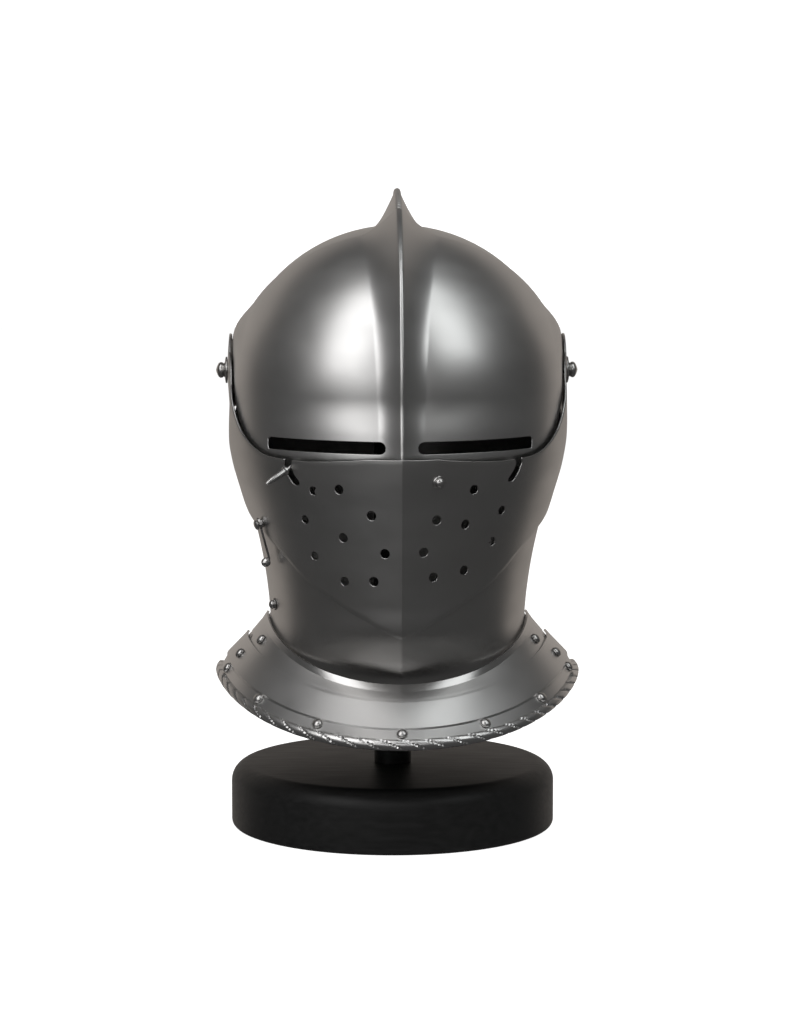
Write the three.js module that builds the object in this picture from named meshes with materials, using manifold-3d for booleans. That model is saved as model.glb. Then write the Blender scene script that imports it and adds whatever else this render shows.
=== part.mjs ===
// Close helmet on a round display stand.
// Millimetres, +Z up, the helmet faces -Y, the origin is at the foot of the stand, under the
// middle of the helmet.
import * as THREE from 'three';
import { mergeVertices } from 'three/addons/utils/BufferGeometryUtils.js';
import Module from 'manifold-3d';

const wasm = await Module();
wasm.setup();

// Driving dimensions
const pivotZ = 305;            // height of the axis that every face plate turns on
const lobeRadius = 24;         // round ends of the plates at the pivots
const plate = 1.6;             // thickness of the steel
const lobeX = { skull: 104.4, bevor: 106.7, visor: 109.7, ventail: 112.2 };
const lobeCurve = 220;         // the plates bow about the pivots to this radius
const lobeFlat = 27;           // and keep to that bow out to this distance from the pivots
const lobeBlend = 53;          // and follow their own form again from this one
const combTop = 119.6;         // radius of the skull's comb about the pivot axis
const bevorLayer = 3.0;        // how far the bevor lies inside the ventail's outer face
const seat = 0.3;              // gap that touching pieces keep

// The stand's disc and post; the helmet sits a little to the right of them (x), and the post
// a little ahead of the pivots (y)
const stand = { radius: 108, height: 42, topRound: 12, footRound: 4, post: 12.25, x: -3, y: -4 };

// Head forms: one row for each level, with the half-width, the reach to the front and to
// the back, the place of the widest line, and how pointed and how full the section is.
// Above its last row a form closes as a dome of the given rise.
const column = { z: 0, width: 1, front: 2, back: 3, widest: 4, point: 5, fall: 6, round: 7 };
const forms = {
  skull: {
    rise: 106,
    rows: [
      [90, 84.0, 100, 88, -6, 0, 2.2, 2.2],
      [125, 82.6, 105, 82, -6, 0, 2.2, 2.2],
      [143, 81.8, 110, 82, -6, 0, 2.2, 2.2],
      [165, 83.2, 115, 85, -6, 0, 2.2, 2.2],
      [203, 89.6, 120, 92, -8, 0, 2.1, 2.1],
      [245, 101.6, 124, 99, -10, 0, 2.0, 2.0],
      [271, 106.8, 126.5, 102, -12, 0, 2.0, 2.0],
      [295, 108.6, 127, 103, -12, 0, 2.0, 2.0],
    ],
  },
  visor: {
    rise: 108.2,
    rows: [
      [225, 100.0, 140, 101, -10, 0.36, 2.0, 2.30],
      [245, 106.5, 141, 101, -11, 0.34, 2.0, 2.30],
      [271, 109.6, 137.5, 104, -12, 0.26, 2.0, 2.20],
      [295, 110.8, 132.5, 105, -12, 0.12, 2.0, 2.06],
    ],
  },
  face: {
    rise: 106,
    rows: [
      [90, 88.5, 104, 84, -8, 0.30, 2.1, 2.2],
      [110, 87.5, 104, 82, -8, 0.34, 2.1, 2.2],
      [125, 87.2, 118, 84, -6, 0.38, 2.0, 2.3],
      [143, 87.4, 130, 88, -4, 0.40, 2.0, 2.35],
      [165, 89.4, 134, 92, -4, 0.40, 2.0, 2.35],
      [185, 92.6, 137.5, 96, -4, 0.40, 2.0, 2.35],
      [203, 96.6, 140.5, 100, -4, 0.40, 2.0, 2.35],
      [225, 103.2, 144.3, 104, -4, 0.40, 2.0, 2.35],
      [245, 108.9, 147.8, 106, -4, 0.40, 2.0, 2.35],
      [271, 112.8, 151, 107, -4, 0.36, 2.0, 2.3],
      [295, 113.2, 152, 107, -6, 0.34, 2.0, 2.3],
    ],
  },
};

const rad = THREE.MathUtils.degToRad;
const lerp = THREE.MathUtils.lerp;
const clamp = THREE.MathUtils.clamp;
const smoothstep = THREE.MathUtils.smoothstep;

// Value at a place along a short table of [place, value] rows, straight between rows
function along(table, at) {
  const last = table.length - 1;
  if (at <= table[0][0]) return table[0][1];
  for (let k = 0; k < last; k += 1) {
    const [a, va] = table[k];
    const [b, vb] = table[k + 1];
    if (at <= b) return lerp(va, vb, (at - a) / (b - a));
  }
  return table[last][1];
}

// Smooth value of one column of a form at level z, flat at the form's last row
function level(rows, name, z) {
  const c = column[name];
  const last = rows.length - 1;
  const at = clamp(z, rows[0][0], rows[last][0]);
  let k = 0;
  while (k < last - 1 && at > rows[k + 1][0]) k += 1;
  const slope = (n) => (rows[n + 1][c] - rows[n][c]) / (rows[n + 1][0] - rows[n][0]);
  const tangent = (n) => {
    if (n === 0) return slope(0);
    if (n === last) return 0;
    const before = rows[n][0] - rows[n - 1][0];
    const after = rows[n + 1][0] - rows[n][0];
    return (slope(n - 1) * after + slope(n) * before) / (before + after);
  };
  const h = rows[k + 1][0] - rows[k][0];
  const t = (at - rows[k][0]) / h;
  return (1 + 2 * t) * (1 - t) ** 2 * rows[k][c] + t * (1 - t) ** 2 * h * tangent(k)
    + t * t * (3 - 2 * t) * rows[k + 1][c] + t * t * (t - 1) * h * tangent(k + 1);
}

// Below zero inside a form, above zero outside it
function inForm(form, x, y, z) {
  const rows = form.rows;
  const over = Math.max(z - rows[rows.length - 1][0], 0) / form.rise;
  if (over >= 1) return 1;
  const shrink = Math.sqrt(1 - over * over);
  const widest = level(rows, 'widest', z);
  const u = Math.abs(x) / (level(rows, 'width', z) * shrink);
  const ahead = widest - y;
  const point = level(rows, 'point', z);
  const frontFall = point * u + (1 - point) * u ** level(rows, 'fall', z);
  const toFront = smoothstep(ahead, 0, 25);
  const fall = lerp(u * u, frontFall, toFront);
  if (ahead > 0) {
    const reach = (level(rows, 'front', z) + widest) * shrink;
    return fall + (ahead / reach) ** level(rows, 'round', z) - 1;
  }
  const reach = (level(rows, 'back', z) - widest) * shrink;
  return fall + (ahead / reach) ** 2 - 1;
}

// Where a line from (x0, 0) towards (dx, dr) meets a form, in the half-plane that leaves
// the chart's axis at the given angle: 0 is forwards, 90 up and 180 back
function meet(form, centre, x0, dx, dr, angle) {
  const cos = Math.cos(rad(angle));
  const sin = Math.sin(rad(angle));
  let near = 0;
  let far = 320;
  for (let k = 0; k < 34; k += 1) {
    const mid = (near + far) / 2;
    const r = dr * mid;
    const x = x0 + dx * mid;
    if (inForm(form, x, centre.y - r * cos, centre.z + r * sin) < 0) near = mid;
    else far = mid;
  }
  return { x: x0 + dx * near, r: dr * near };
}

// A chart place: c runs from the ridge (0) through the line x = fanX (1) to the axis (2)
const fanX = 45;
function chartPoint(form, centre, c, angle) {
  const turn = Math.max(c - 1, 0) * 90;
  const x0 = fanX * Math.min(c, 1);
  const hit = meet(form, centre, x0, Math.sin(rad(turn)), Math.cos(rad(turn)), angle);
  return new THREE.Vector3(
    hit.x,
    centre.y - hit.r * Math.cos(rad(angle)),
    centre.z + hit.r * Math.sin(rad(angle)),
  );
}

const pivot = { y: 0, z: pivotZ };
const radiusAt = (p) => Math.hypot(p.y, p.z - pivotZ);
const angleAt = (p) => THREE.MathUtils.radToDeg(Math.atan2(p.z - pivotZ, -p.y));

// Chart place of a point at a small radius about the pivot
const lobeChart = (r) => 2 - Math.atan2(r, lobeX.visor - fanX) / rad(90);
const lobeStart = lobeChart(lobeRadius);

// How far a plate bows in at a distance from the pivot; it is the same all round the pivot,
// so that the plates turn freely over one another
const bowAt = (r) => (r * r) / (2 * lobeCurve);

// Brings a plate to its own bowed layer about the pivot
function settle(p, layerX) {
  const r = radiusAt(p);
  const flat = 1 - smoothstep(r, lobeFlat, lobeBlend);
  p.x = lerp(p.x, layerX - bowAt(r), flat);
  return p;
}

// Raises the comb or ridge: its height at an angle falls off to the foot on either side
function raise(p, ridge) {
  const angle = angleAt(p);
  const foot = ridge.foot(angle);
  const x = Math.sqrt(p.x * p.x + ridge.edge * ridge.edge) - ridge.edge;
  if (x >= foot) return p;
  const height = ridge.height(angle) * (1 - x / foot) ** ridge.power;
  const r = radiusAt(p);
  const k = (r + height) / r;
  p.y *= k;
  p.z = pivotZ + (p.z - pivotZ) * k;
  return p;
}

// Closed solid from an outer grid of points, one row of points for each column of the
// plate; the inner face lies one thickness inside it
function shellFromGrid(grid, thickness) {
  const wide = grid.length;
  const tall = grid[0].length;
  const inner = grid.map((col, i) => col.map((p, j) => {
    const before = grid[Math.max(i - 1, 0)][j];
    const after = grid[Math.min(i + 1, wide - 1)][j];
    const below = col[Math.max(j - 1, 0)];
    const above = col[Math.min(j + 1, tall - 1)];
    const alongWidth = new THREE.Vector3().subVectors(after, before);
    const alongHeight = new THREE.Vector3().subVectors(above, below);
    if (alongHeight.lengthSq() < 1e-6) {
      const next = grid[i === 0 ? 1 : wide - 2];
      alongWidth.subVectors(p, next[Math.floor(tall / 2)]).multiplyScalar(i === 0 ? -1 : 1);
      alongHeight.subVectors(next[tall - 1], next[0]);
    }
    const normal = new THREE.Vector3().crossVectors(alongWidth, alongHeight).normalize();
    return new THREE.Vector3().copy(p).addScaledVector(normal, -thickness);
  }));
  const points = [];
  const triangle = (a, b, c) => {
    if (a.distanceTo(b) < 1e-4 || b.distanceTo(c) < 1e-4 || c.distanceTo(a) < 1e-4) return;
    points.push(a, b, c);
  };
  const quad = (a, b, c, d) => {
    triangle(a, b, c);
    triangle(a, c, d);
  };
  for (let i = 0; i < wide - 1; i += 1) {
    for (let j = 0; j < tall - 1; j += 1) {
      quad(grid[i][j], grid[i + 1][j], grid[i + 1][j + 1], grid[i][j + 1]);
      quad(inner[i][j], inner[i][j + 1], inner[i + 1][j + 1], inner[i + 1][j]);
    }
    quad(grid[i][0], inner[i][0], inner[i + 1][0], grid[i + 1][0]);
    const top = tall - 1;
    quad(grid[i][top], grid[i + 1][top], inner[i + 1][top], inner[i][top]);
  }
  for (let j = 0; j < tall - 1; j += 1) {
    const end = wide - 1;
    quad(grid[0][j], grid[0][j + 1], inner[0][j + 1], inner[0][j]);
    quad(grid[end][j], inner[end][j], inner[end][j + 1], grid[end][j + 1]);
  }
  return new THREE.BufferGeometry().setFromPoints(points);
}

// A plate that turns on the pivots: columns from lobe to lobe over the ridge, each from
// the plate's lower edge to its upper edge
function pivotedPlate(spec) {
  const half = spec.columns.map((c) => {
    const col = [];
    for (let j = 0; j <= spec.steps; j += 1) {
      col.push(spec.point(c, lerp(spec.low(c), spec.high(c), j / spec.steps)));
    }
    return col;
  });
  const startLow = spec.low(lobeStart);
  const startHigh = spec.high(lobeStart);
  const middle = (startLow + startHigh) / 2 + 180;
  const opening = 180 - (startHigh - startLow) / 2;
  const lobeSteps = 7;
  for (let k = 1; k <= lobeSteps; k += 1) {
    const spread = opening * (1 - k / lobeSteps);
    const a = middle - 360 + spread;
    const b = middle - spread;
    const from = new THREE.Vector2(Math.cos(rad(a)), Math.sin(rad(a)));
    const to = new THREE.Vector2(Math.cos(rad(b)), Math.sin(rad(b)));
    const bow = Math.max(0, 1 - 2 * (k / lobeSteps)) * (1 - Math.abs(Math.cos(rad(spread))));
    const col = [];
    for (let j = 0; j <= spec.steps; j += 1) {
      const s = j / spec.steps;
      const flat = from.clone().lerp(to, s);
      const ahead = 0.35 * bow * 4 * s * (1 - s);
      const p = (flat.x - Math.cos(rad(middle)) * ahead) * lobeRadius;
      const q = (flat.y - Math.sin(rad(middle)) * ahead) * lobeRadius;
      col.push(new THREE.Vector3(spec.layerX - bowAt(Math.hypot(p, q)), -p, pivotZ + q));
    }
    half.push(col);
  }
  const mirrored = half.slice(1).reverse().map(
    (col) => col.map((p) => new THREE.Vector3(-p.x, p.y, p.z)),
  );
  return shellFromGrid([...mirrored, ...half], plate);
}

// Solids that join and cut
function toSolid(geometry) {
  const bare = geometry.index ? geometry.toNonIndexed() : geometry.clone();
  bare.deleteAttribute('normal');
  bare.deleteAttribute('uv');
  const merged = mergeVertices(bare, 1e-4);
  const kept = [];
  const index = merged.index.array;
  for (let k = 0; k < index.length; k += 3) {
    const [a, b, c] = [index[k], index[k + 1], index[k + 2]];
    if (a !== b && b !== c && c !== a) kept.push(a, b, c);
  }
  return new wasm.Manifold(new wasm.Mesh({
    numProp: 3,
    vertProperties: new Float32Array(merged.attributes.position.array),
    triVerts: new Uint32Array(kept),
  }));
}

function toGeometry(solid) {
  const mesh = solid.getMesh();
  const geometry = new THREE.BufferGeometry();
  geometry.setAttribute('position', new THREE.BufferAttribute(mesh.vertProperties, 3));
  geometry.setIndex(new THREE.BufferAttribute(mesh.triVerts, 1));
  return geometry;
}

const join = (...parts) => parts.map(toSolid).reduce((a, b) => a.add(b));
const cut = (whole, ...tools) => tools.map(toSolid).reduce((a, b) => a.subtract(b), toSolid(whole));

// A round piece turned about a line: profile rows are [distance along it, radius]
function turned(profile, sides, from, direction) {
  const points = profile.map(([at, r]) => new THREE.Vector2(r, at));
  const geometry = new THREE.LatheGeometry(points, sides);
  const turn = new THREE.Quaternion().setFromUnitVectors(
    new THREE.Vector3(0, 1, 0),
    direction.clone().normalize(),
  );
  geometry.applyQuaternion(turn);
  return geometry.translate(from.x, from.y, from.z);
}

// A flat outline in the side view (-Y, Z), carried along X from one place to another
function sideCutter(outline, fromX, toX) {
  const shape = new THREE.Shape(outline.map(([ahead, up]) => new THREE.Vector2(ahead, up)));
  const geometry = new THREE.ExtrudeGeometry(shape, { depth: toX - fromX, bevelEnabled: false });
  // the outline's own axes (ahead, up, depth) become (-Y, Z, X), which keeps it right-handed
  const axes = new THREE.Matrix4().makeBasis(
    new THREE.Vector3(0, -1, 0),
    new THREE.Vector3(0, 0, 1),
    new THREE.Vector3(-1, 0, 0),
  );
  geometry.applyMatrix4(axes);
  return geometry.translate(toX, 0, 0);
}

// Skull: dome with a tall comb, charted about its lower front corner
const skullCorner = { y: -26, z: 140 };
const skullBase = (angle) => {
  const p = chartPoint(forms.skull, pivot, 0, angle);
  return radiusAt(p);
};
const combFade = (angle) => 1 - smoothstep(angle, 118, 232);
const comb = {
  edge: 2.2,
  power: 1.45,
  foot: (angle) => lerp(9, 14, combFade(angle)),
  height: (angle) => {
    const up = angle < -90 ? angle + 360 : angle;
    return Math.max(combTop - skullBase(up), 0) * combFade(up);
  },
};
const skullFront = [[0, 78.5], [0.5, 79.5], [1, 84], [1.15, 88], [1.3, 91], [2, 93]];
const skullRear = [[0, 192], [1, 191.5], [2, 189]];
const skullColumns = [0, 0.07, 0.16, 0.3, 0.6, 1, 1.09, 1.15, 1.2, 1.26, 1.34, 1.48, 1.7, 2];
const skullSteps = 15;

function skullGeometry() {
  const half = skullColumns.map((c) => {
    const col = [];
    for (let j = 0; j <= skullSteps; j += 1) {
      const angle = lerp(along(skullFront, c), along(skullRear, c), j / skullSteps);
      const p = chartPoint(forms.skull, skullCorner, c, angle);
      col.push(raise(settle(p, lobeX.skull), comb));
    }
    return col;
  });
  const mirrored = half.slice(1).reverse().map(
    (col) => col.map((p) => new THREE.Vector3(-p.x, p.y, p.z)),
  );
  return shellFromGrid([...mirrored, ...half], plate);
}

// Visor: its lower margin keeps the radius of its lower edge line, so that it slides
// behind the ventail as it lifts
const visorEdge = [[0, -18], [1, -21], [1.15, -24], [1.3, -28], [1.45, -26], [1.62, -12], [1.78, 20]];
const visorMargin = 5;
const visorRidge = {
  edge: 1.0,
  power: 1.12,
  foot: (angle) => along([[-20, 8], [20, 12], [50, 17]], angle),
  height: (angle) => along([[-20, 7], [0, 8.2], [30, 12.4], [60.7, 17.6]], angle),
};
const visorPlate = {
  layerX: lobeX.visor,
  columns: [0, 0.07, 0.15, 0.25, 0.4, 0.7, 1, 1.15, 1.3, 1.45, 1.6, lobeStart],
  steps: 7,
  low: (c) => along(visorEdge, c) - (c < lobeStart - 0.01 ? visorMargin : 0),
  high: () => 60.7,
  point: (c, angle) => {
    const edge = along(visorEdge, c);
    const held = Math.max(angle, edge);
    const p = chartPoint(forms.visor, pivot, c, held);
    raise(settle(p, lobeX.visor), visorRidge);
    const r = radiusAt(p);
    return new THREE.Vector3(p.x, -r * Math.cos(rad(angle)), pivotZ + r * Math.sin(rad(angle)));
  },
};

// Ventail: the pointed plate with the breaths, outermost
const ventailTop = [[0, -17.4], [0.5, -18.2], [1, -20.4], [1.15, -24.5], [1.25, -27.6],
  [1.33, -28.4], [1.42, -27.6], [1.5, -24], [1.58, -17], [1.66, -8], [1.78, 32]];
const ventailFoot = [[0, -51.2], [0.5, -50.4], [1, -50.8], [1.15, -53.5], [1.25, -60],
  [1.33, -72], [1.42, -84], [1.5, -92], [1.6, -103], [1.7, -116], [1.78, -132]];
const ventailPlate = {
  layerX: lobeX.ventail,
  columns: [0, 0.22, 0.45, 0.7, 1, 1.12, 1.22, 1.32, 1.42, 1.52, 1.62, 1.7, lobeStart],
  steps: 7,
  low: (c) => along(ventailFoot, c),
  high: (c) => along(ventailTop, c),
  point: (c, angle) => settle(chartPoint(forms.face, pivot, c, angle), lobeX.ventail),
};

// Bevor: chin and throat plate inside the ventail, charted by azimuth about the neck (0
// front, 90 side) and height
const neckY = -8;
function reachAt(form, azimuth, z) {
  const sin = Math.sin(rad(azimuth));
  const cos = Math.cos(rad(azimuth));
  let near = 0;
  let far = 160;
  for (let k = 0; k < 30; k += 1) {
    const mid = (near + far) / 2;
    if (inForm(form, mid * sin, neckY - mid * cos, z) < 0) near = mid;
    else far = mid;
  }
  return near;
}
const around = (azimuth, at) => new THREE.Vector3(
  at.x * Math.sin(rad(azimuth)),
  neckY - at.x * Math.cos(rad(azimuth)),
  at.y,
);
function inwards(form, p, depth) {
  const step = 0.01;
  const at = (dx, dy, dz) => inForm(form, p.x + dx, p.y + dy, p.z + dz);
  const normal = new THREE.Vector3(
    p.x < step ? 0 : at(step, 0, 0) - at(-step, 0, 0),
    at(0, step, 0) - at(0, -step, 0),
    at(0, 0, step) - at(0, 0, -step),
  ).normalize();
  return p.addScaledVector(normal, -depth);
}
const bevorTop = [[0, 167], [22, 170], [38, 184], [54, 222], [69, 262], [76, 281], [80, 289], [82, 297],
  [84, 315], [87, 325], [94, 329], [100, 325], [104, 317], [106.6, 307]];
const bevorFoot = [[0, 102], [20, 105], [38, 112], [49, 119], [60, 127], [70, 132], [80, 136],
  [84, 143], [88, 155], [94, 180], [99, 210], [102.5, 245], [105, 278], [106.6, 303]];
const bevorColumns = [0, 8, 17, 27, 37, 47, 56, 63, 69, 74, 78, 82, 87, 92, 97, 101, 104, 106.6];
const bevorSteps = 7;
function bevorGeometry() {
  const half = bevorColumns.map((azimuth) => {
    const col = [];
    for (let j = 0; j <= bevorSteps; j += 1) {
      const z = lerp(along(bevorFoot, azimuth), along(bevorTop, azimuth), j / bevorSteps);
      const at = new THREE.Vector2(reachAt(forms.face, azimuth, z), z);
      const p = inwards(forms.face, around(azimuth, at), bevorLayer);
      col.push(settle(p, lobeX.bevor));
    }
    return col;
  });
  const mirrored = half.slice(1).reverse().map(
    (col) => col.map((p) => new THREE.Vector3(-p.x, p.y, p.z)),
  );
  return shellFromGrid([...mirrored, ...half], plate);
}

// Lines round the gorget: half-width at the side, reach to the front and to the back, and
// the height at each; the height falls from side to front or back by the given power
const lines = {
  neckTop: { side: 0, front: 0, back: 0, zSide: 144, zFront: 111, zBack: 126, power: 1.6 },
  neckTurn: { side: 90, front: 112, back: 91, zSide: 139, zFront: 107, zBack: 122, power: 1.6 },
  step: { side: 100.2, front: 121, back: 100, zSide: 127, zFront: 100.6, zBack: 115, power: 1.6 },
  border: { side: 111.5, front: 137, back: 114, zSide: 115.3, zFront: 87, zBack: 103, power: 1.6 },
  rim: { side: 115.2, front: 145.4, back: 122, zSide: 109, zFront: 81, zBack: 97, power: 1.6 },
};
function onLine(line, azimuth) {
  const sin = Math.sin(rad(azimuth));
  const cos = Math.cos(rad(azimuth));
  const reach = cos > 0 ? line.front + neckY : line.back - neckY;
  const zEnd = cos > 0 ? line.zFront : line.zBack;
  const softCos = (Math.sqrt(cos * cos + 0.01) - 0.1) / 0.905;
  const z = line.zSide + (zEnd - line.zSide) * softCos ** line.power;
  const radius = 1 / Math.hypot(sin / line.side, cos / reach);
  return new THREE.Vector2(radius, z);
}

// Solid swept round the neck: a closed section for each azimuth, capped at both ends
function sweptBand(section, from, to, steps) {
  const rings = [];
  for (let k = 0; k <= steps; k += 1) {
    const azimuth = lerp(from, to, k / steps);
    rings.push(section(azimuth).map((at) => around(azimuth, at)));
  }
  const count = rings[0].length;
  const points = [];
  for (let k = 0; k < steps; k += 1) {
    for (let n = 0; n < count; n += 1) {
      const m = (n + 1) % count;
      const [a, b] = [rings[k][n], rings[k][m]];
      const [c, d] = [rings[k + 1][m], rings[k + 1][n]];
      points.push(a, b, c, a, c, d);
    }
  }
  const faces = THREE.ShapeUtils.triangulateShape(section(from), []);
  faces.forEach(([a, b, c]) => {
    points.push(rings[0][a], rings[0][b], rings[0][c]);
    points.push(rings[steps][a], rings[steps][c], rings[steps][b]);
  });
  return new THREE.BufferGeometry().setFromPoints(points);
}

// Normal offset of an open run of section points, to the left of its direction
function beside(run, distance) {
  return run.map((at, k) => {
    const before = run[Math.max(k - 1, 0)];
    const after = run[Math.min(k + 1, run.length - 1)];
    const d = new THREE.Vector2().subVectors(after, before).normalize();
    return new THREE.Vector2(at.x - d.y * distance, at.y + d.x * distance);
  });
}

// The section of the whole gorget at an azimuth, at a distance outside its outer face: neck,
// turn, step, border, sunken border and rim
const rollRadius = 3.7;
const rollTurns = [60, 15, -30, -75, -120, -170];
const borderSink = 1.0;
const lap = plate + seat;
function gorgetRun(azimuth, distance) {
  const ring = (z) => Math.max(
    reachAt(forms.skull, azimuth, z) + lap + plate + 0.7,
    reachAt(forms.face, azimuth, z) - bevorLayer + plate + 0.4,
  );
  const top = onLine(lines.neckTop, azimuth).y;
  const turn = onLine(lines.neckTurn, azimuth);
  const border = onLine(lines.border, azimuth);
  const rim = onLine(lines.rim, azimuth);
  const outward = rim.clone().sub(border).normalize();
  const down = new THREE.Vector2(outward.y, -outward.x).multiplyScalar(borderSink);
  const run = [
    new THREE.Vector2(ring(top), top),
    new THREE.Vector2(Math.max(turn.x, ring(turn.y)), turn.y),
    onLine(lines.step, azimuth),
    border,
    border.clone().addScaledVector(outward, 1).add(down),
    rim.clone().add(down),
  ];
  return beside(run, distance);
}

// A lame: from the neck down to a share of the way past the step, under the collar
function lameSection(distance, past) {
  const pick = (azimuth, from) => {
    const run = gorgetRun(azimuth, from);
    const share = past(azimuth);
    const start = share < 0 ? 1 : 2;
    const end = run[start].clone().lerp(run[start + 1], share < 0 ? 1 + share : share);
    return [run[0], run[1], run[1].clone().lerp(run[2], 0.6), end];
  };
  return (azimuth) => [...pick(azimuth, distance), ...pick(azimuth, distance - plate).reverse()];
}

// A collar: from just above the step, over the border, to the rolled rim; where another
// collar laps over it (lapped), it stops short and has no roll
function collarSection(distance, lapped) {
  const pick = (azimuth, from) => {
    const run = gorgetRun(azimuth, from);
    if (lapped(azimuth)) run[5].lerp(run[4], 0.9);
    return [run[1].clone().lerp(run[2], 0.82), ...run.slice(2)];
  };
  return (azimuth) => {
    const size = lapped(azimuth) ? plate / 2 : rollRadius;
    const outer = pick(azimuth, distance);
    const inner = pick(azimuth, distance - plate);
    const end = outer[outer.length - 1];
    const heading = end.clone().sub(outer[outer.length - 2]).angle();
    const centre = end.clone().lerp(inner[inner.length - 1], 0.5);
    centre.x += Math.cos(heading) * size * 0.8;
    centre.y += Math.sin(heading) * size * 0.8;
    const roll = rollTurns.map((turn) => new THREE.Vector2(
      centre.x + size * Math.cos(heading + rad(turn + 60)),
      centre.y + size * Math.sin(heading + rad(turn + 60)),
    ));
    return [...outer, ...roll, ...inner.reverse()];
  };
}

// Azimuths where the front and back pieces end: the front ones lap the back ones
const frontEnd = 97;
const backStart = 84;
const layers = { frontCollar: lap + 0.5, backCollar: 0, frontLame: 0.3, backLame: -lap - 0.1 };
const frontPast = (azimuth) => (Math.abs(azimuth) > backStart - 4 ? -0.35 : 0.3);
const backPast = () => 0.3;
const underFront = (azimuth) => Math.abs(azimuth - 180) > 180 - frontEnd - 4;
const neverUnder = () => false;

// A domed rivet head that stands on a plate, clear of its facets
const rivetSeat = 0.55;
function rivetHead(at, normal, radius, height) {
  const profile = [[0, 0], [0, radius], [height * 0.55, radius * 0.82], [height, 0]];
  return turned(profile, 7, at.clone().addScaledVector(normal, rivetSeat), normal);
}

// Place and outward direction on the gorget, at an azimuth and a share of the way from one
// point of its section to the next
function onGorget(distance, azimuth, from, share) {
  const pick = (at, past) => {
    const run = gorgetRun(at, distance);
    return around(at, run[from].clone().lerp(run[from + 1], past));
  };
  const sideways = pick(azimuth + 0.5, share).sub(pick(azimuth - 0.5, share));
  const outward = pick(azimuth, 1).sub(pick(azimuth, 0));
  const normal = outward.cross(sideways).normalize();
  return { at: pick(azimuth, share), normal };
}

const steel = { colour: 0x9a9994, roughness: 0.28, metalness: 1 };
const darkSteel = { colour: 0x7d7c78, roughness: 0.32, metalness: 1 };
const blackWood = { colour: 0x1d1d1e, roughness: 0.55, metalness: 0 };

const group = new THREE.Group();
function add(name, geometry, look) {
  const material = new THREE.MeshStandardMaterial({
    color: look.colour,
    roughness: look.roughness,
    metalness: look.metalness,
  });
  const mesh = new THREE.Mesh(geometry, material);
  mesh.name = name;
  group.add(mesh);
  return mesh;
}

// Stand: a turned disc and the post that carries the crown of the helmet
function standGeometry() {
  const { radius, height, topRound, footRound } = stand;
  const shape = new THREE.Path();
  shape.moveTo(0, 0);
  shape.lineTo(radius - footRound, 0);
  shape.absarc(radius - footRound, footRound, footRound, -Math.PI / 2, 0, false);
  shape.absarc(radius - topRound, height - topRound, topRound, 0, Math.PI / 2, false);
  shape.lineTo(0, height);
  const geometry = new THREE.LatheGeometry(shape.getPoints(3), 28);
  return geometry.rotateX(Math.PI / 2).translate(stand.x, 0, 0);
}
const up = new THREE.Vector3(0, 0, 1);
const crownInside = pivotZ + skullBase(90) - plate - seat;
const pad = { height: 26, radius: 24, drop: 4.35, crown: 14, crownDrop: 1.15 };
function postGeometry() {
  const padTop = crownInside;
  const padFoot = padTop - pad.height;
  const profile = [[stand.height + seat, 0], [stand.height + seat, stand.post],
    [padFoot, stand.post], [padFoot + 6, pad.radius],
    [padTop - pad.drop, pad.radius], [padTop - pad.crownDrop, pad.crown], [padTop, 0]];
  return turned(profile, 24, new THREE.Vector3(stand.x, stand.y, 0), up);
}

add('stand_base', standGeometry(), blackWood);
add('stand_post', postGeometry(), blackWood);
const backEnd = 360 - backStart;
const backLame = sweptBand(lameSection(layers.backLame, backPast), backStart, backEnd, 20);
const frontLame = sweptBand(lameSection(layers.frontLame, frontPast), -frontEnd, frontEnd, 24);
const backCollar = sweptBand(collarSection(layers.backCollar, underFront), backStart, backEnd, 24);
const frontCollar = sweptBand(collarSection(layers.frontCollar, neverUnder), -frontEnd, frontEnd, 26);
add('nape_lame', backLame, steel);
add('back_collar', backCollar, steel);
add('throat_lame', frontLame, steel);
add('front_collar', frontCollar, steel);

// Ventail with its breaths, the slots in its upper edge and the holes for the bolts
const breaths = {
  radius: 3.35,
  places: [
    [-36.7, 207.6], [-55.4, 236.7], [-39.4, 238.6], [-19.2, 222.7], [-10.7, 198.7],
    [-17.6, 180.5], [-35.8, 179.5], [-54.7, 194.2], [-60.6, 217.4],
    [40.2, 215.9], [45.5, 238], [63.8, 222.9], [57.8, 203], [39.6, 186.1],
    [20, 183.1], [13.7, 199.4], [21.9, 219.7],
  ],
};
function frontPoint(form, x, z) {
  let near = 0;
  let far = -180;
  for (let k = 0; k < 30; k += 1) {
    const mid = (near + far) / 2;
    if (inForm(form, x, mid, z) < 0) near = mid;
    else far = mid;
  }
  return new THREE.Vector3(x, near, z);
}
function normalAt(form, p) {
  const out = p.clone();
  out.x = Math.abs(out.x);
  const n = inwards(form, out.clone(), -1).sub(out);
  if (p.x < 0) n.x = -n.x;
  return n;
}
const drill = (at, direction, radius, depth, sides) => turned(
  [[-depth, 0], [-depth, radius], [depth, radius], [depth, 0]],
  sides,
  at,
  direction,
);
const sideways = new THREE.Vector3(1, 0, 0);
const boltHole = drill(new THREE.Vector3(0, 0, pivotZ), sideways, 3.1, 130, 12);
const slotWalls = [[115.4, -19], [115.4, -22], [117, -26], [120.6, -28.4], [125.5, -30],
  [127.5, -29.3], [125, -28.3], [122, -26], [120.6, -22], [120.6, -19]];
const slotShift = { left: 3.4, right: 0 };
function slotOutline(shift) {
  return slotWalls.map(([r, angle]) => [
    (r + shift) * Math.cos(rad(angle)),
    pivotZ + (r + shift) * Math.sin(rad(angle)),
  ]);
}
const breathDrills = breaths.places.map(([x, z]) => {
  const p = frontPoint(forms.face, x, z);
  return drill(p, normalAt(forms.face, p), breaths.radius, 5, 7);
});
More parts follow.
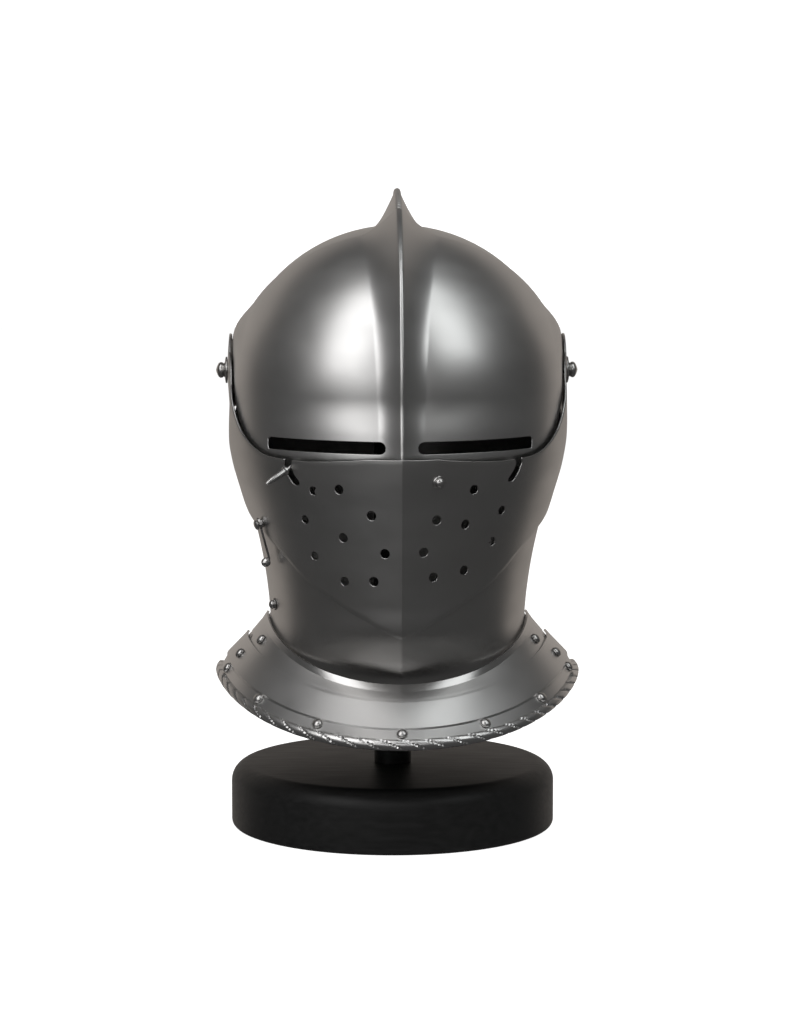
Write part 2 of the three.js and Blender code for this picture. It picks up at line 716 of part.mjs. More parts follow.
const ventailSolid = cut(
  pivotedPlate(ventailPlate),
  boltHole,
  sideCutter(slotOutline(slotShift.right), 58, 92),
  sideCutter(slotOutline(slotShift.left), -92, -58),
  ...breathDrills,
);
add('ventail', toGeometry(ventailSolid), darkSteel);

// Visor with its two sights, round at the ridge end and square at the outer end
const sight = { from: 10, to: 84.5, z: 264.7, high: 4.1 };
function sightCutter(side) {
  const { from, to, z, high } = sight;
  const shape = new THREE.Shape();
  shape.moveTo(to, z - high);
  shape.lineTo(to, z + high);
  shape.absarc(from + high, z, high, Math.PI / 2, (3 * Math.PI) / 2, false);
  const outline = shape.getPoints(3).map((p) => new THREE.Vector2(p.x * side, p.y));
  const settings = { depth: 100, bevelEnabled: false };
  const geometry = new THREE.ExtrudeGeometry(new THREE.Shape(outline), settings);
  const axes = new THREE.Matrix4().makeBasis(sideways, up, new THREE.Vector3(0, -1, 0));
  return geometry.applyMatrix4(axes).translate(0, -60, 0);
}
const visorSolid = cut(pivotedPlate(visorPlate), boltHole, sightCutter(1), sightCutter(-1));
add('visor', toGeometry(visorSolid), steel);

add('skull', toGeometry(cut(skullGeometry(), boltHole)), steel);
add('bevor', toGeometry(cut(bevorGeometry(), boltHole)), darkSteel);

// Bolts with a nut inside, a rosette washer and a domed knob outside
const boltFrom = lobeX.skull - plate - seat - 4.9;
const boltProfile = [[0, 0], [0, 4.6], [2.5, 4.6], [2.5, 2.6], [14.8, 2.6], [14.8, 8.5],
  [16, 8], [16.6, 5.2], [19.4, 5], [21.7, 3], [22.3, 0]];
[['left', -1], ['right', 1]].forEach(([label, side]) => {
  const from = new THREE.Vector3(boltFrom * side, 0, pivotZ);
  const direction = new THREE.Vector3(side, 0, 0);
  add(`pivot_bolt_${label}`, turned(boltProfile, 12, from, direction), steel);
});

// Lifting peg, on the visor's margin and out through the slot in the ventail
function visorMarginPoint(angle, radius) {
  let near = 1;
  let far = 1.45;
  for (let k = 0; k < 30; k += 1) {
    const mid = (near + far) / 2;
    if (radiusAt(visorPlate.point(mid, angle)) > radius) near = mid;
    else far = mid;
  }
  return visorPlate.point(near, angle);
}
const pegFoot = visorMarginPoint(-25.6, 120.2);
pegFoot.x = -pegFoot.x;
const pegWay = new THREE.Vector3(-18, -12, -11.5).normalize();
const pegProfile = [[0, 0], [0, 1.2], [9.6, 1.2], [9.6, 2.7], [11.6, 2.7], [11.6, 2],
  [22, 1.8], [23, 1.5], [27.3, 0.8], [27.3, 0]];
const pegStart = pegFoot.addScaledVector(pegWay, -1.5);
add('lifting_peg', turned(pegProfile, 8, pegStart, pegWay), steel);

const visorStud = frontPoint(forms.visor, -7.5, 265);
visorStud.y += 0.1;
const studProfile = [[0, 0], [0, 1.7], [1.2, 1.6], [2, 0]];
add('sight_stud', turned(studProfile, 8, visorStud, new THREE.Vector3(-0.5, -1, -0.1)), steel);

const spring = frontPoint(forms.face, 22.9, 243.9);
const springWay = normalAt(forms.face, spring);
const springProfile = [[0, 0], [0, 4], [0.7, 4], [0.7, 2.6], [1.5, 3], [2.6, 2.6], [3.6, 1.2],
  [3.8, 0]];
const springFoot = spring.addScaledVector(springWay, seat);
add('spring_stud', turned(springProfile, 10, springFoot, springWay), steel);

// Swivel hook: it hangs from its stud on the ventail and turns on it
const hookPlace = { azimuth: 56.5, z: 210.4 };
const hookReach = reachAt(forms.face, hookPlace.azimuth, hookPlace.z);
const hookAt = around(-hookPlace.azimuth, new THREE.Vector2(hookReach, hookPlace.z));
const hookWay = normalAt(forms.face, hookAt);
const hookFoot = hookAt.clone().addScaledVector(hookWay, seat);
const hookStudProfile = [[0, 0], [0, 2.8], [0.8, 2.8], [0.8, 1.5], [3.3, 1.5], [3.3, 3.5],
  [4.4, 3], [5.2, 0]];
add('hook_stud', turned(hookStudProfile, 10, hookFoot, hookWay), steel);
const hookDown = new THREE.Vector3(0, 0, -1).projectOnPlane(hookWay).normalize();
const hookSide = new THREE.Vector3().crossVectors(hookDown, hookWay);
const hook = { length: 24, eye: 4, hole: 1.9, arm: 2.1, thick: 1.5, lift: 1.2, ball: 3.2 };
function hookGeometry() {
  const shape = new THREE.Shape();
  const reach = Math.sqrt(hook.eye * hook.eye - hook.arm * hook.arm);
  const spread = Math.atan2(hook.arm, reach);
  shape.moveTo(hook.length, -hook.arm);
  shape.lineTo(hook.length, hook.arm);
  shape.lineTo(reach, hook.arm);
  shape.absarc(0, 0, hook.eye, spread, 2 * Math.PI - spread, false);
  const hole = new THREE.Path();
  hole.absarc(0, 0, hook.hole, 0, 2 * Math.PI, true);
  shape.holes.push(hole);
  const settings = { depth: hook.thick, bevelEnabled: false, curveSegments: 5 };
  const arm = new THREE.ExtrudeGeometry(shape, settings);
  const ball = new THREE.SphereGeometry(hook.ball, 10, 6);
  ball.translate(hook.length + 1.4, 0, hook.ball - 0.2);
  const whole = toGeometry(join(arm, ball));
  const axes = new THREE.Matrix4().makeBasis(hookDown, hookSide.clone().negate(), hookWay);
  const foot = hookAt.clone().addScaledVector(hookWay, hook.lift + seat);
  return whole.applyMatrix4(axes).translate(foot.x, foot.y, foot.z);
}
add('swivel_hook', hookGeometry(), steel);

const throatStud = around(-64, new THREE.Vector2(reachAt(forms.face, 64, 155) - bevorLayer, 155));
const throatWay = normalAt(forms.face, throatStud);
const throatFoot = throatStud.addScaledVector(throatWay, seat);
add('throat_stud', turned(springProfile, 8, throatFoot, throatWay), steel);

// Rivets round the borders and at the sides of the lames
const rivet = { radius: 3.5, height: 2.6 };
const borderRivets = [0, 24, 48, 76];
function addRivet(name, spot) {
  add(name, rivetHead(spot.at, spot.normal, rivet.radius, rivet.height), steel);
}
borderRivets.forEach((azimuth) => {
  const sides = azimuth === 0 ? [1] : [-1, 1];
  sides.forEach((side) => {
    const label = `${side < 0 ? 'left' : 'right'}_${azimuth}`;
    addRivet(`front_rivet_${label}`, onGorget(layers.frontCollar, azimuth * side, 4, 0.4));
    addRivet(`back_rivet_${label}`, onGorget(layers.backCollar, 180 - 0.9 * azimuth * side, 4, 0.4));
  });
});
[['left', -1], ['right', 1]].forEach(([label, side]) => {
  addRivet(`throat_rivet_${label}`, onGorget(layers.frontLame, 70 * side, 1, 0.4));
  addRivet(`front_side_rivet_${label}`, onGorget(layers.frontCollar, 74 * side, 2, 0.45));
});

export default group;
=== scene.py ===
import bpy
import math
import numpy as np
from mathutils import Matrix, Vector


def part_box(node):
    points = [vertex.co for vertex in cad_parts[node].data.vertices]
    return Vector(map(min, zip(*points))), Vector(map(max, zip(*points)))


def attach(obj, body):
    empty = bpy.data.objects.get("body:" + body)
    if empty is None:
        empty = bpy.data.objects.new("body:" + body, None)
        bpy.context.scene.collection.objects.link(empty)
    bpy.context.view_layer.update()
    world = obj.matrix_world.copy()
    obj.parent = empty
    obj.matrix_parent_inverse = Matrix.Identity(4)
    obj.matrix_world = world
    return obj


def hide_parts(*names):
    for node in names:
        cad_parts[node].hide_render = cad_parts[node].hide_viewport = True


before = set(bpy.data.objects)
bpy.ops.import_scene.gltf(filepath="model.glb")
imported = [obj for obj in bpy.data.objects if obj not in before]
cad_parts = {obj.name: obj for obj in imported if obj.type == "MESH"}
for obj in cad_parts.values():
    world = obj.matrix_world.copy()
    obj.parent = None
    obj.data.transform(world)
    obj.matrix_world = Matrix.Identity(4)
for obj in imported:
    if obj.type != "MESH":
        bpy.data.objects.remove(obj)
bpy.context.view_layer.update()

# Frame: metres, +Z up, the helmet faces -Y; the shapes below are worked out in mm.
pivotZ = 305.0
lobeRadius = 24.0
wall = 1.6
seat = 0.3
boltHole = 3.1
rimProud = 0.22
layerX = {"skull": 104.4, "bevor": 106.7, "visor": 109.7, "ventail": 112.2}
lobeCurve = 220.0
lobeFlat = 27.0
lobeBlend = 53.0
fanFrom = 45.0
bevorDepth = 3.0
combTop = 119.6

# Head forms: rows of height, half-width, reach to the front and back, place of the widest
# line, and how pointed, curved and full the section is; above the last row comes a dome
headForms = {
    "skull": (106.0, [
        (90, 84.0, 100, 88, -6, 0, 2.2, 2.2), (125, 82.6, 105, 82, -6, 0, 2.2, 2.2),
        (143, 81.8, 110, 82, -6, 0, 2.2, 2.2), (165, 83.2, 115, 85, -6, 0, 2.2, 2.2),
        (203, 89.6, 120, 92, -8, 0, 2.1, 2.1), (245, 101.6, 124, 99, -10, 0, 2.0, 2.0),
        (271, 106.8, 126.5, 102, -12, 0, 2.0, 2.0), (295, 108.6, 127, 103, -12, 0, 2.0, 2.0)]),
    "visor": (108.2, [
        (225, 100.0, 140, 101, -10, 0.36, 2.0, 2.30), (245, 106.5, 141, 101, -11, 0.34, 2.0, 2.30),
        (271, 109.6, 137.5, 104, -12, 0.26, 2.0, 2.20), (295, 110.8, 132.5, 105, -12, 0.12, 2.0, 2.06)]),
    "face": (106.0, [
        (90, 88.5, 104, 84, -8, 0.30, 2.1, 2.2), (110, 87.5, 104, 82, -8, 0.34, 2.1, 2.2),
        (125, 87.2, 118, 84, -6, 0.38, 2.0, 2.3), (143, 87.4, 130, 88, -4, 0.40, 2.0, 2.35),
        (165, 89.4, 134, 92, -4, 0.40, 2.0, 2.35), (185, 92.6, 137.5, 96, -4, 0.40, 2.0, 2.35),
        (203, 96.6, 140.5, 100, -4, 0.40, 2.0, 2.35), (225, 103.2, 144.3, 104, -4, 0.40, 2.0, 2.35),
        (245, 108.9, 147.8, 106, -4, 0.40, 2.0, 2.35), (271, 112.8, 151, 107, -4, 0.36, 2.0, 2.3),
        (295, 113.2, 152, 107, -6, 0.34, 2.0, 2.3)]),
}


def smoothStep(x, a, b):
    t = np.clip((x - a) / (b - a), 0, 1)
    return t * t * (3 - 2 * t)


def hermite(xs, ys, at):
    # smooth curve through a table, flat at its last row
    xs = np.asarray(xs, float)
    ys = np.asarray(ys, float)
    slope = np.diff(ys) / np.diff(xs)
    gap = np.diff(xs)
    tangent = np.zeros(len(xs))
    tangent[0] = slope[0]
    tangent[1:-1] = (slope[:-1] * gap[1:] + slope[1:] * gap[:-1]) / (gap[:-1] + gap[1:])
    at = np.clip(at, xs[0], xs[-1])
    k = np.clip(np.searchsorted(xs, at, side="right") - 1, 0, len(xs) - 2)
    h = gap[k]
    t = (at - xs[k]) / h
    value = (1 + 2 * t) * (1 - t) ** 2 * ys[k] + t * (1 - t) ** 2 * h * tangent[k]
    return value + t * t * (3 - 2 * t) * ys[k + 1] + t * t * (t - 1) * h * tangent[k + 1]


def softTable(table, at, blur):
    # value along a table, straight between rows and softened by averaging nearby places
    xs, ys = np.array(table, float).T
    parts = [np.interp(at + d * blur, xs, ys) for d in (-1, -0.6, -0.2, 0.2, 0.6, 1)]
    return sum(parts) / len(parts)


def inForm(name, x, y, z):
    # below zero inside a head form: width share plus forward share to a power, less one
    rise, rows = headForms[name]
    cols = list(zip(*rows))
    wide, front, back, widest, point, fall, full = (hermite(cols[0], c, z) for c in cols[1:])
    over = np.maximum(z - cols[0][-1], 0) / rise
    shrink = np.sqrt(np.maximum(1 - over * over, 1e-9))
    u = np.abs(x) / (wide * shrink)
    ahead = widest - y
    frontFall = point * u + (1 - point) * u ** fall
    toFront = smoothStep(ahead, 0, 25)
    share = u * u * (1 - toFront) + frontFall * toFront
    reach = np.where(ahead > 0, front + widest, back - widest) * shrink
    power = np.where(ahead > 0, full, 2.0)
    value = share + (np.abs(ahead) / reach) ** power - 1
    return np.where(over >= 1, 1.0, value)


def formNormal(name, p):
    # outward direction of a form, from its slope; on the ridge it has no sideways part
    e = 0.01
    x, y, z = p[..., 0], p[..., 1], p[..., 2]
    nx = inForm(name, x + e, y, z) - inForm(name, x - e, y, z)
    ny = inForm(name, x, y + e, z) - inForm(name, x, y - e, z)
    nz = inForm(name, x, y, z + e) - inForm(name, x, y, z - e)
    n = np.stack([nx, ny, nz], -1)
    return n / np.linalg.norm(n, axis=-1, keepdims=True)


def chart(name, centre, c, angle):
    # place on a form: c 0 to 1 keeps x at fanFrom times c, c 1 to 2 fans out to the side;
    # angle is about that axis, 0 forwards and 90 up. Found by halving the way outwards
    turn = np.radians(np.maximum(c - 1, 0) * 90)
    x0 = fanFrom * np.minimum(c, 1)
    dx, dr = np.sin(turn), np.cos(turn)
    ca, sa = np.cos(np.radians(angle)), np.sin(np.radians(angle))
    near = np.zeros(np.broadcast(c, angle).shape)
    far = near + 320
    for _ in range(36):
        mid = (near + far) / 2
        r = dr * mid
        inside = inForm(name, x0 + dx * mid, centre[0] - r * ca, centre[1] + r * sa) < 0
        near = np.where(inside, mid, near)
        far = np.where(inside, far, mid)
    r = dr * near
    return np.stack([x0 + dx * near, centre[0] - r * ca, centre[1] + r * sa], -1)


def aboutPivot(p):
    y, z = p[..., 1], p[..., 2] - pivotZ
    return np.hypot(y, z), np.degrees(np.arctan2(z, -y))


def settle(p, x):
    # brings a plate to its own layer about the pivots, bowed in by distance squared over
    # twice the bow's radius
    r, _ = aboutPivot(p)
    flat = 1 - smoothStep(r, lobeFlat, lobeBlend)
    p = p.copy()
    p[..., 0] = p[..., 0] * (1 - flat) + (x - r * r / (2 * lobeCurve)) * flat
    return p


def lift(p, by):
    # moves points outwards from the pivot axis
    r, _ = aboutPivot(p)
    k = (r + by) / np.maximum(r, 1e-6)
    p = p.copy()
    p[..., 1] *= k
    p[..., 2] = pivotZ + (p[..., 2] - pivotZ) * k
    return p


def gridNormals(p):
    n = np.cross(np.gradient(p, axis=0), np.gradient(p, axis=1))
    size = np.linalg.norm(n, axis=-1, keepdims=True)
    return n / np.maximum(size, 1e-9)


def mirrorGrid(half):
    # adds the left half to a right half whose first column lies on the ridge
    left = half[1:][::-1].copy()
    left[..., 0] *= -1
    return np.concatenate([left, half])


def carve(p, cuts):
    # drops the cells inside each cut and moves the edge points onto the cut's outline; the
    # normals are those of the uncut plate, which stay smooth beside the cuts
    normal = gridNormals(p)
    keep = np.ones((p.shape[0] - 1, p.shape[1] - 1), bool)
    for cut in cuts:
        s, g = cut(p)
        inside = s < 0
        cell = inside[:-1, :-1] & inside[1:, :-1] & inside[:-1, 1:] & inside[1:, 1:]
        keep &= ~cell
        slide = g - normal * (g * normal).sum(-1, keepdims=True)
        size = np.maximum((slide * slide).sum(-1), 1e-6)
        move = np.where(inside & (s > -2.2), -s / size, 0)
        p = p + slide * np.clip(move, 0, 3)[..., None]
    return p, keep, normal


def plateMesh(name, p, keep, n, thick):
    # closed plate: the outer grid, the same grid one thickness further in, and a rim
    # of two strips along every open edge
    outer, inner = p, p - n * thick
    wide, tall = p.shape[:2]
    index = np.arange(wide * tall).reshape(wide, tall)
    a, b = index[:-1, :-1][keep], index[1:, :-1][keep]
    c, d = index[1:, 1:][keep], index[:-1, 1:][keep]
    quads = np.stack([a, b, c, d], 1)
    edges = np.concatenate([quads[:, [0, 1]], quads[:, [1, 2]], quads[:, [2, 3]], quads[:, [3, 0]]])
    key = np.sort(edges, 1)
    code = key[:, 0].astype(np.int64) * (wide * tall) + key[:, 1]
    _, first, count = np.unique(code, return_index=True, return_counts=True)
    rim = edges[first[count == 1]]
    total = wide * tall
    points = np.concatenate([outer.reshape(-1, 3), inner.reshape(-1, 3)])
    # the middle line of the rim stands a little proud, which rounds the edge
    rimPoints = np.unique(rim)
    middle = (points[rimPoints] + points[rimPoints + total]) / 2
    away = np.zeros((total, 3))
    outward = n.reshape(-1, 3)
    side = np.cross(points[rim[:, 1]] - points[rim[:, 0]], outward[rim[:, 0]])
    side /= np.maximum(np.linalg.norm(side, axis=1, keepdims=True), 1e-9)
    np.add.at(away, rim[:, 0], side)
    np.add.at(away, rim[:, 1], side)
    push = away[rimPoints]
    push /= np.maximum(np.linalg.norm(push, axis=1, keepdims=True), 1e-9)
    middleIndex = np.full(total, -1)
    middleIndex[rimPoints] = 2 * total + np.arange(len(rimPoints))
    points = np.concatenate([points, middle + push * rimProud * thick])
    normals = np.concatenate([outward, -outward, push])
    r0, r1 = rim[:, 0], rim[:, 1]
    m0, m1 = middleIndex[r0], middleIndex[r1]
    strips = [np.stack([r1, r0, m0, m1], 1), np.stack([m1, m0, r0 + total, r1 + total], 1)]
    faces = np.concatenate([quads, quads[:, ::-1] + total] + strips)
    return makeMesh(name, points, faces, normals=normals)


def makeMesh(name, points, faces, sharp=38, normals=None):
    # points in mm; points that no face uses are dropped
    used, back = np.unique(faces, return_inverse=True)
    faces = back.reshape(faces.shape)
    points = points[used] * 0.001
    mesh = bpy.data.meshes.new(name)
    mesh.vertices.add(len(points))
    mesh.vertices.foreach_set("co", points.astype(np.float32).ravel())
    mesh.loops.add(faces.size)
    mesh.loops.foreach_set("vertex_index", faces.astype(np.int32).ravel())
    mesh.polygons.add(len(faces))
    mesh.polygons.foreach_set("loop_start", np.arange(0, faces.size, faces.shape[1], dtype=np.int32))
    mesh.update(calc_edges=True)
    mesh.validate()
    mesh.polygons.foreach_set("use_smooth", np.ones(len(mesh.polygons), bool))
    if normals is None:
        mesh.set_sharp_from_angle(angle=math.radians(sharp))
    else:
        mesh.normals_split_custom_set_from_vertices(normals[used])
    obj = bpy.data.objects.new(name, mesh)
    bpy.context.scene.collection.objects.link(obj)
    return obj


def finishPiece(obj, material, body, slot, *nodes):
    obj.data.materials.append(material)
    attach(obj, body)
    if nodes:
        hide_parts(*nodes)
    print("made", obj.name, len(obj.data.polygons))
    return obj


# Plates that turn about the pivots, and the skull
skullLook = {"frontEdge": [[0, 78.5], [0.5, 79.5], [1, 84], [1.15, 88], [1.3, 91], [2, 93]],
             "foot": [[0, 192], [1, 191.5], [2, 189]], "corner": (-26, 140),
             "columns": (74, 66), "rows": 120, "combEdge": 1.2, "combPower": 1.4}


def combShape(angle):
    # height and foot of the skull's comb at an angle about the pivot axis
    turn = np.where(angle < -90, angle + 360, angle)
    fade = 1 - smoothStep(turn, 118, 232)
    base = aboutPivot(chart("skull", (0, pivotZ), np.zeros_like(turn), turn))[0]
    return np.maximum(combTop - base, 0) * fade, 9 + 5 * fade


def makeSkull():
    look = skullLook
    near, fan = look["columns"]
    c = np.concatenate([np.linspace(0, 1, near) ** 1.3, np.linspace(1, 1.975, fan)[1:]])
    low = softTable(look["frontEdge"], c, 0.06)
    high = softTable(look["foot"], c, 0.06)
    t = np.linspace(0, 1, look["rows"])
    angle = low[:, None] + (high - low)[:, None] * t
    p = settle(chart("skull", look["corner"], c[:, None], angle), layerX["skull"])
    _, turn = aboutPivot(p)
    height, foot = combShape(turn)
    x = np.sqrt(p[..., 0] ** 2 + look["combEdge"] ** 2) - look["combEdge"]
    raised = height * np.clip(1 - x / foot, 0, 1) ** look["combPower"]
    p = mirrorGrid(lift(p, raised))
    p, keep, normal = carve(p, [boltCut()])
    return plateMesh("skull_plate", p, keep, normal, wall)


def roundCut(at, axis, radius):
    # distance from a line less a radius, with its direction
    at, axis = np.array(at, float), np.array(axis, float)
    axis = axis / np.linalg.norm(axis)

    def cut(p):
        q = p - at
        q = q - axis * (q @ axis)[..., None]
        d = np.linalg.norm(q, axis=-1)
        near = np.linalg.norm(p - at, axis=-1) < 45 if abs(axis[0]) < 0.99 else d < 20
        return np.where(near, d - radius, 99.0), q / np.maximum(d, 1e-6)[..., None]
    return cut


def boltCut():
    return roundCut((0, 0, pivotZ), (1, 0, 0), boltHole)


visorLook = {"edge": [[0, -18], [1, -21], [1.15, -24], [1.3, -28], [1.45, -26], [1.62, -12], [1.78, 20]],
             "margin": 5.0, "top": 60.7, "columns": (72, 78), "rows": 112, "lobe": 20,
             "foot": [[-20, 13], [20, 17], [50, 23], [62, 24.5]],
             "height": [[-20, 7], [0, 8.2], [30, 12.4], [60.7, 17.6]],
             "crest": [[-20, 0.45], [10, 0.5], [40, 0.75], [61, 1.5]], "power": 1.62, "soft": 0.4,
             "sightFrom": 10.0, "sightTo": 84.5, "sightZ": 264.7, "sightHigh": 4.1}


def lobeColumns(layer, low, high, rows, count):
    # straight chords over the round end of a plate, from the last column to its far side
    middle = (low + high) / 2 + 180
    opening = 180 - (high - low) / 2
    k = np.arange(1, count + 1) / count * 0.985
    spread = opening * (1 - k)
    a, b = np.radians(middle - 360 + spread), np.radians(middle - spread)
    s = np.linspace(0, 1, rows)
    fx = np.cos(a)[:, None] * (1 - s) + np.cos(b)[:, None] * s
    fz = np.sin(a)[:, None] * (1 - s) + np.sin(b)[:, None] * s
    bow = np.maximum(0, 1 - 2 * k) * (1 - np.abs(np.cos(np.radians(spread))))
    ahead = 0.35 * bow[:, None] * 4 * s * (1 - s)
    fx = fx - np.cos(math.radians(middle)) * ahead
    fz = fz - np.sin(math.radians(middle)) * ahead
    sag = (fx * fx + fz * fz) * lobeRadius ** 2 / (2 * lobeCurve)
    return np.stack([layer - sag, -fx * lobeRadius, pivotZ + fz * lobeRadius], -1)


lobeStart = 2 - math.atan2(lobeRadius, layerX["visor"] - fanFrom) / math.radians(90)


def plateColumns(counts):
    near, fan = counts
    return np.concatenate([np.linspace(0, 1, near) ** 1.2, np.linspace(1, lobeStart, fan)[1:]])


def sightCut(side, look):
    # a long slot seen from the front: round at its inner end, nearly square at its outer end
    x0, x1, high = look["sightFrom"], look["sightTo"], look["sightHigh"]

    def cut(p):
        x, z = p[..., 0] * side, p[..., 2] - look["sightZ"]
        corner = np.where(x < (x0 + x1) / 2, high - 0.05, 1.0)
        qx = np.abs(x - (x0 + x1) / 2) - (x1 - x0) / 2 + corner
        qz = np.abs(z) - high + corner
        out = np.hypot(np.maximum(qx, 0), np.maximum(qz, 0))
        s = out + np.minimum(np.maximum(qx, qz), 0) - corner
        both = (qx > 0) & (qz > 0)
        gx = np.where(both, qx / np.maximum(out, 1e-6), (qx > qz) * 1.0)
        gz = np.where(both, qz / np.maximum(out, 1e-6), (qx <= qz) * 1.0)
        g = np.stack([gx * np.sign(x - (x0 + x1) / 2) * side, np.zeros_like(x), gz * np.sign(z)], -1)
        return np.where(p[..., 1] < -60, s, 99.0), g
    return cut


def visorPoint(c, angle):
    # place on the visor with its ridge; below the edge line a margin runs on at the
    # edge's own distance from the pivot axis
    look = visorLook
    held = np.maximum(angle, softTable(look["edge"], c, 0.05))
    p = settle(chart("visor", (0, pivotZ), c, held), layerX["visor"])
    foot = softTable(look["foot"], held, 5)
    crest = softTable(look["crest"], held, 5)
    x = np.maximum(np.abs(p[..., 0]) - crest, 0)
    x = np.sqrt(x * x + look["soft"] ** 2) - look["soft"]
    raised = softTable(look["height"], held, 5) * np.clip(1 - x / foot, 0, 1) ** look["power"]
    p = lift(p, raised)
    r, _ = aboutPivot(p)
    a = np.radians(angle)
    return np.stack([p[..., 0], -r * np.cos(a), pivotZ + r * np.sin(a)], -1)


def makeVisor():
    look = visorLook
    c = plateColumns(look["columns"])
    low = softTable(look["edge"], c, 0.05) - look["margin"] * np.clip((lobeStart - c) / 0.12, 0, 1)
    t = np.linspace(0, 1, look["rows"])
    p = visorPoint(c[:, None], low[:, None] + (look["top"] - low)[:, None] * t)
    ends = lobeColumns(layerX["visor"], low[-1], look["top"], look["rows"], look["lobe"])
    p = mirrorGrid(np.concatenate([p, ends]))
    cuts = [boltCut(), sightCut(1, look), sightCut(-1, look)]
    p, keep, normal = carve(p, cuts)
    return plateMesh("visor_plate", p, keep, normal, wall)


ventailLook = {
    "top": [[0, -17.4], [0.5, -18.2], [1, -20.4], [1.15, -24.5], [1.25, -27.6], [1.33, -28.4],
            [1.42, -27.6], [1.5, -24], [1.58, -17], [1.66, -8], [1.78, 32]],
    "foot": [[0, -51.2], [0.5, -50.4], [1, -50.8], [1.15, -53.5], [1.25, -60], [1.33, -72],
             [1.42, -84], [1.5, -92], [1.6, -103], [1.7, -116], [1.78, -132]],
    "columns": (76, 90), "rows": 104, "lobe": 20, "breath": 3.35,
    "bevel": 0.5, "bevelLow": 2.2, "bevelTop": 1.8, "topShare": 0.3, "bevelEnd": (0.3, 0.6),
    "breaths": [[-36.7, 207.6], [-55.4, 236.7], [-39.4, 238.6], [-19.2, 222.7], [-10.7, 198.7],
                [-17.6, 180.5], [-35.8, 179.5], [-54.7, 194.2], [-60.6, 217.4], [40.2, 215.9],
                [45.5, 238], [63.8, 222.9], [57.8, 203], [39.6, 186.1], [20, 183.1],
                [13.7, 199.4], [21.9, 219.7]],
    "slot": [[118.0, -19], [118.2, -22], [119.2, -26], [122.4, -28.0], [126.2, -29.4]],
    "slotWide": 2.45, "slotShift": {-1: 3.4, 1: 0.0}}


def frontPoint(name, x, z):
    # the front of a form at a place in the front view, found by halving
    near, far = 0.0, -180.0
    for _ in range(40):
        mid = (near + far) / 2
        if inForm(name, np.array(x), np.array(mid), np.array(float(z))) < 0:
            near = mid
        else:
            far = mid
    return np.array([x, near, z])


def slotCut(side, look):
    # a bent slot in the side view: distance from its middle line less half its width
    line = np.array(look["slot"], float)
    line[:, 0] += look["slotShift"][side]
    path = np.stack([line[:, 0] * np.cos(np.radians(line[:, 1])),
                     pivotZ + line[:, 0] * np.sin(np.radians(line[:, 1]))], 1)

    def cut(p):
        q = np.stack([-p[..., 1], p[..., 2]], -1)
        best = np.full(q.shape[:-1], 99.0)
        way = np.zeros(q.shape)
        for a, b in zip(path[:-1], path[1:]):
            ab = b - a
            t = np.clip(((q - a) @ ab) / (ab @ ab), 0, 1)
            d = q - a - t[..., None] * ab
            size = np.linalg.norm(d, axis=-1)
            closer = size < best
            best = np.where(closer, size, best)
            way = np.where(closer[..., None], d / np.maximum(size, 1e-6)[..., None], way)
        there = (p[..., 0] * side > 50) & (p[..., 0] * side < 96)
        g = np.stack([np.zeros_like(best), -way[..., 0], way[..., 1]], -1)
        return np.where(there, best - look["slotWide"], 99.0), g
    return cut


def makeVentail():
    look = ventailLook
    c = plateColumns(look["columns"])
    low, high = softTable(look["foot"], c, 0.03), softTable(look["top"], c, 0.025)
    t = np.linspace(0, 1, look["rows"])
    t = t + 0.012 * np.sin(2 * np.pi * t)
    angle = low[:, None] + (high - low)[:, None] * t
    p = settle(chart("face", (0, pivotZ), c[:, None], angle), layerX["ventail"])
    # bevel: the plate sinks towards its lower and upper edges, not near the arms
    r, _ = aboutPivot(p)
    fromLow = np.radians(angle - low[:, None]) * r
    fromTop = np.radians(high[:, None] - angle) * r
    atLow = 1 - smoothStep(fromLow, 0, look["bevelLow"])
    atTop = 1 - smoothStep(fromTop, 0, look["bevelTop"])
    sink = look["bevel"] * (atLow + look["topShare"] * atTop)
    sink = sink * smoothStep(lobeStart - c, *look["bevelEnd"])[:, None]
    p = p - gridNormals(p) * sink[..., None]
    ends = lobeColumns(layerX["ventail"], low[-1], high[-1], look["rows"], look["lobe"])
    p = mirrorGrid(np.concatenate([p, ends]))
    cuts = [boltCut(), slotCut(1, look), slotCut(-1, look)]
    for x, z in look["breaths"]:
        at = frontPoint("face", x, z)
        cuts.append(roundCut(at, formNormal("face", at), look["breath"]))
    p, keep, normal = carve(p, cuts)
    return plateMesh("ventail_plate", p, keep, normal, wall)


# Bevor and gorget are charted by azimuth about the neck (0 front, 90 side) and height
neckY = -8.0
bevorLook = {
    "top": [[0, 167], [22, 170], [38, 184], [54, 222], [69, 262], [76, 281], [80, 289], [82, 297], [84, 315],
            [87, 325], [94, 329], [100, 325], [104, 317], [106.6, 307]],
    "foot": [[0, 102], [20, 105], [38, 112], [49, 119], [60, 127], [70, 132], [80, 136], [84, 143],
             [88, 155], [94, 180], [99, 210], [102.5, 245], [105, 278], [106.6, 303]],
    "columns": 110, "rows": 70}


def reachAt(name, azimuth, z):
    s, c = np.sin(np.radians(azimuth)), np.cos(np.radians(azimuth))
    near = np.zeros(np.broadcast(azimuth, z).shape)
    far = near + 160
    for _ in range(34):
        mid = (near + far) / 2
        inside = inForm(name, mid * s, neckY - mid * c, z + near * 0) < 0
        near = np.where(inside, mid, near)
        far = np.where(inside, far, mid)
    return near


def around(azimuth, r, z):
    a = np.radians(azimuth)
    return np.stack(np.broadcast_arrays(r * np.sin(a), neckY - r * np.cos(a), z), -1)


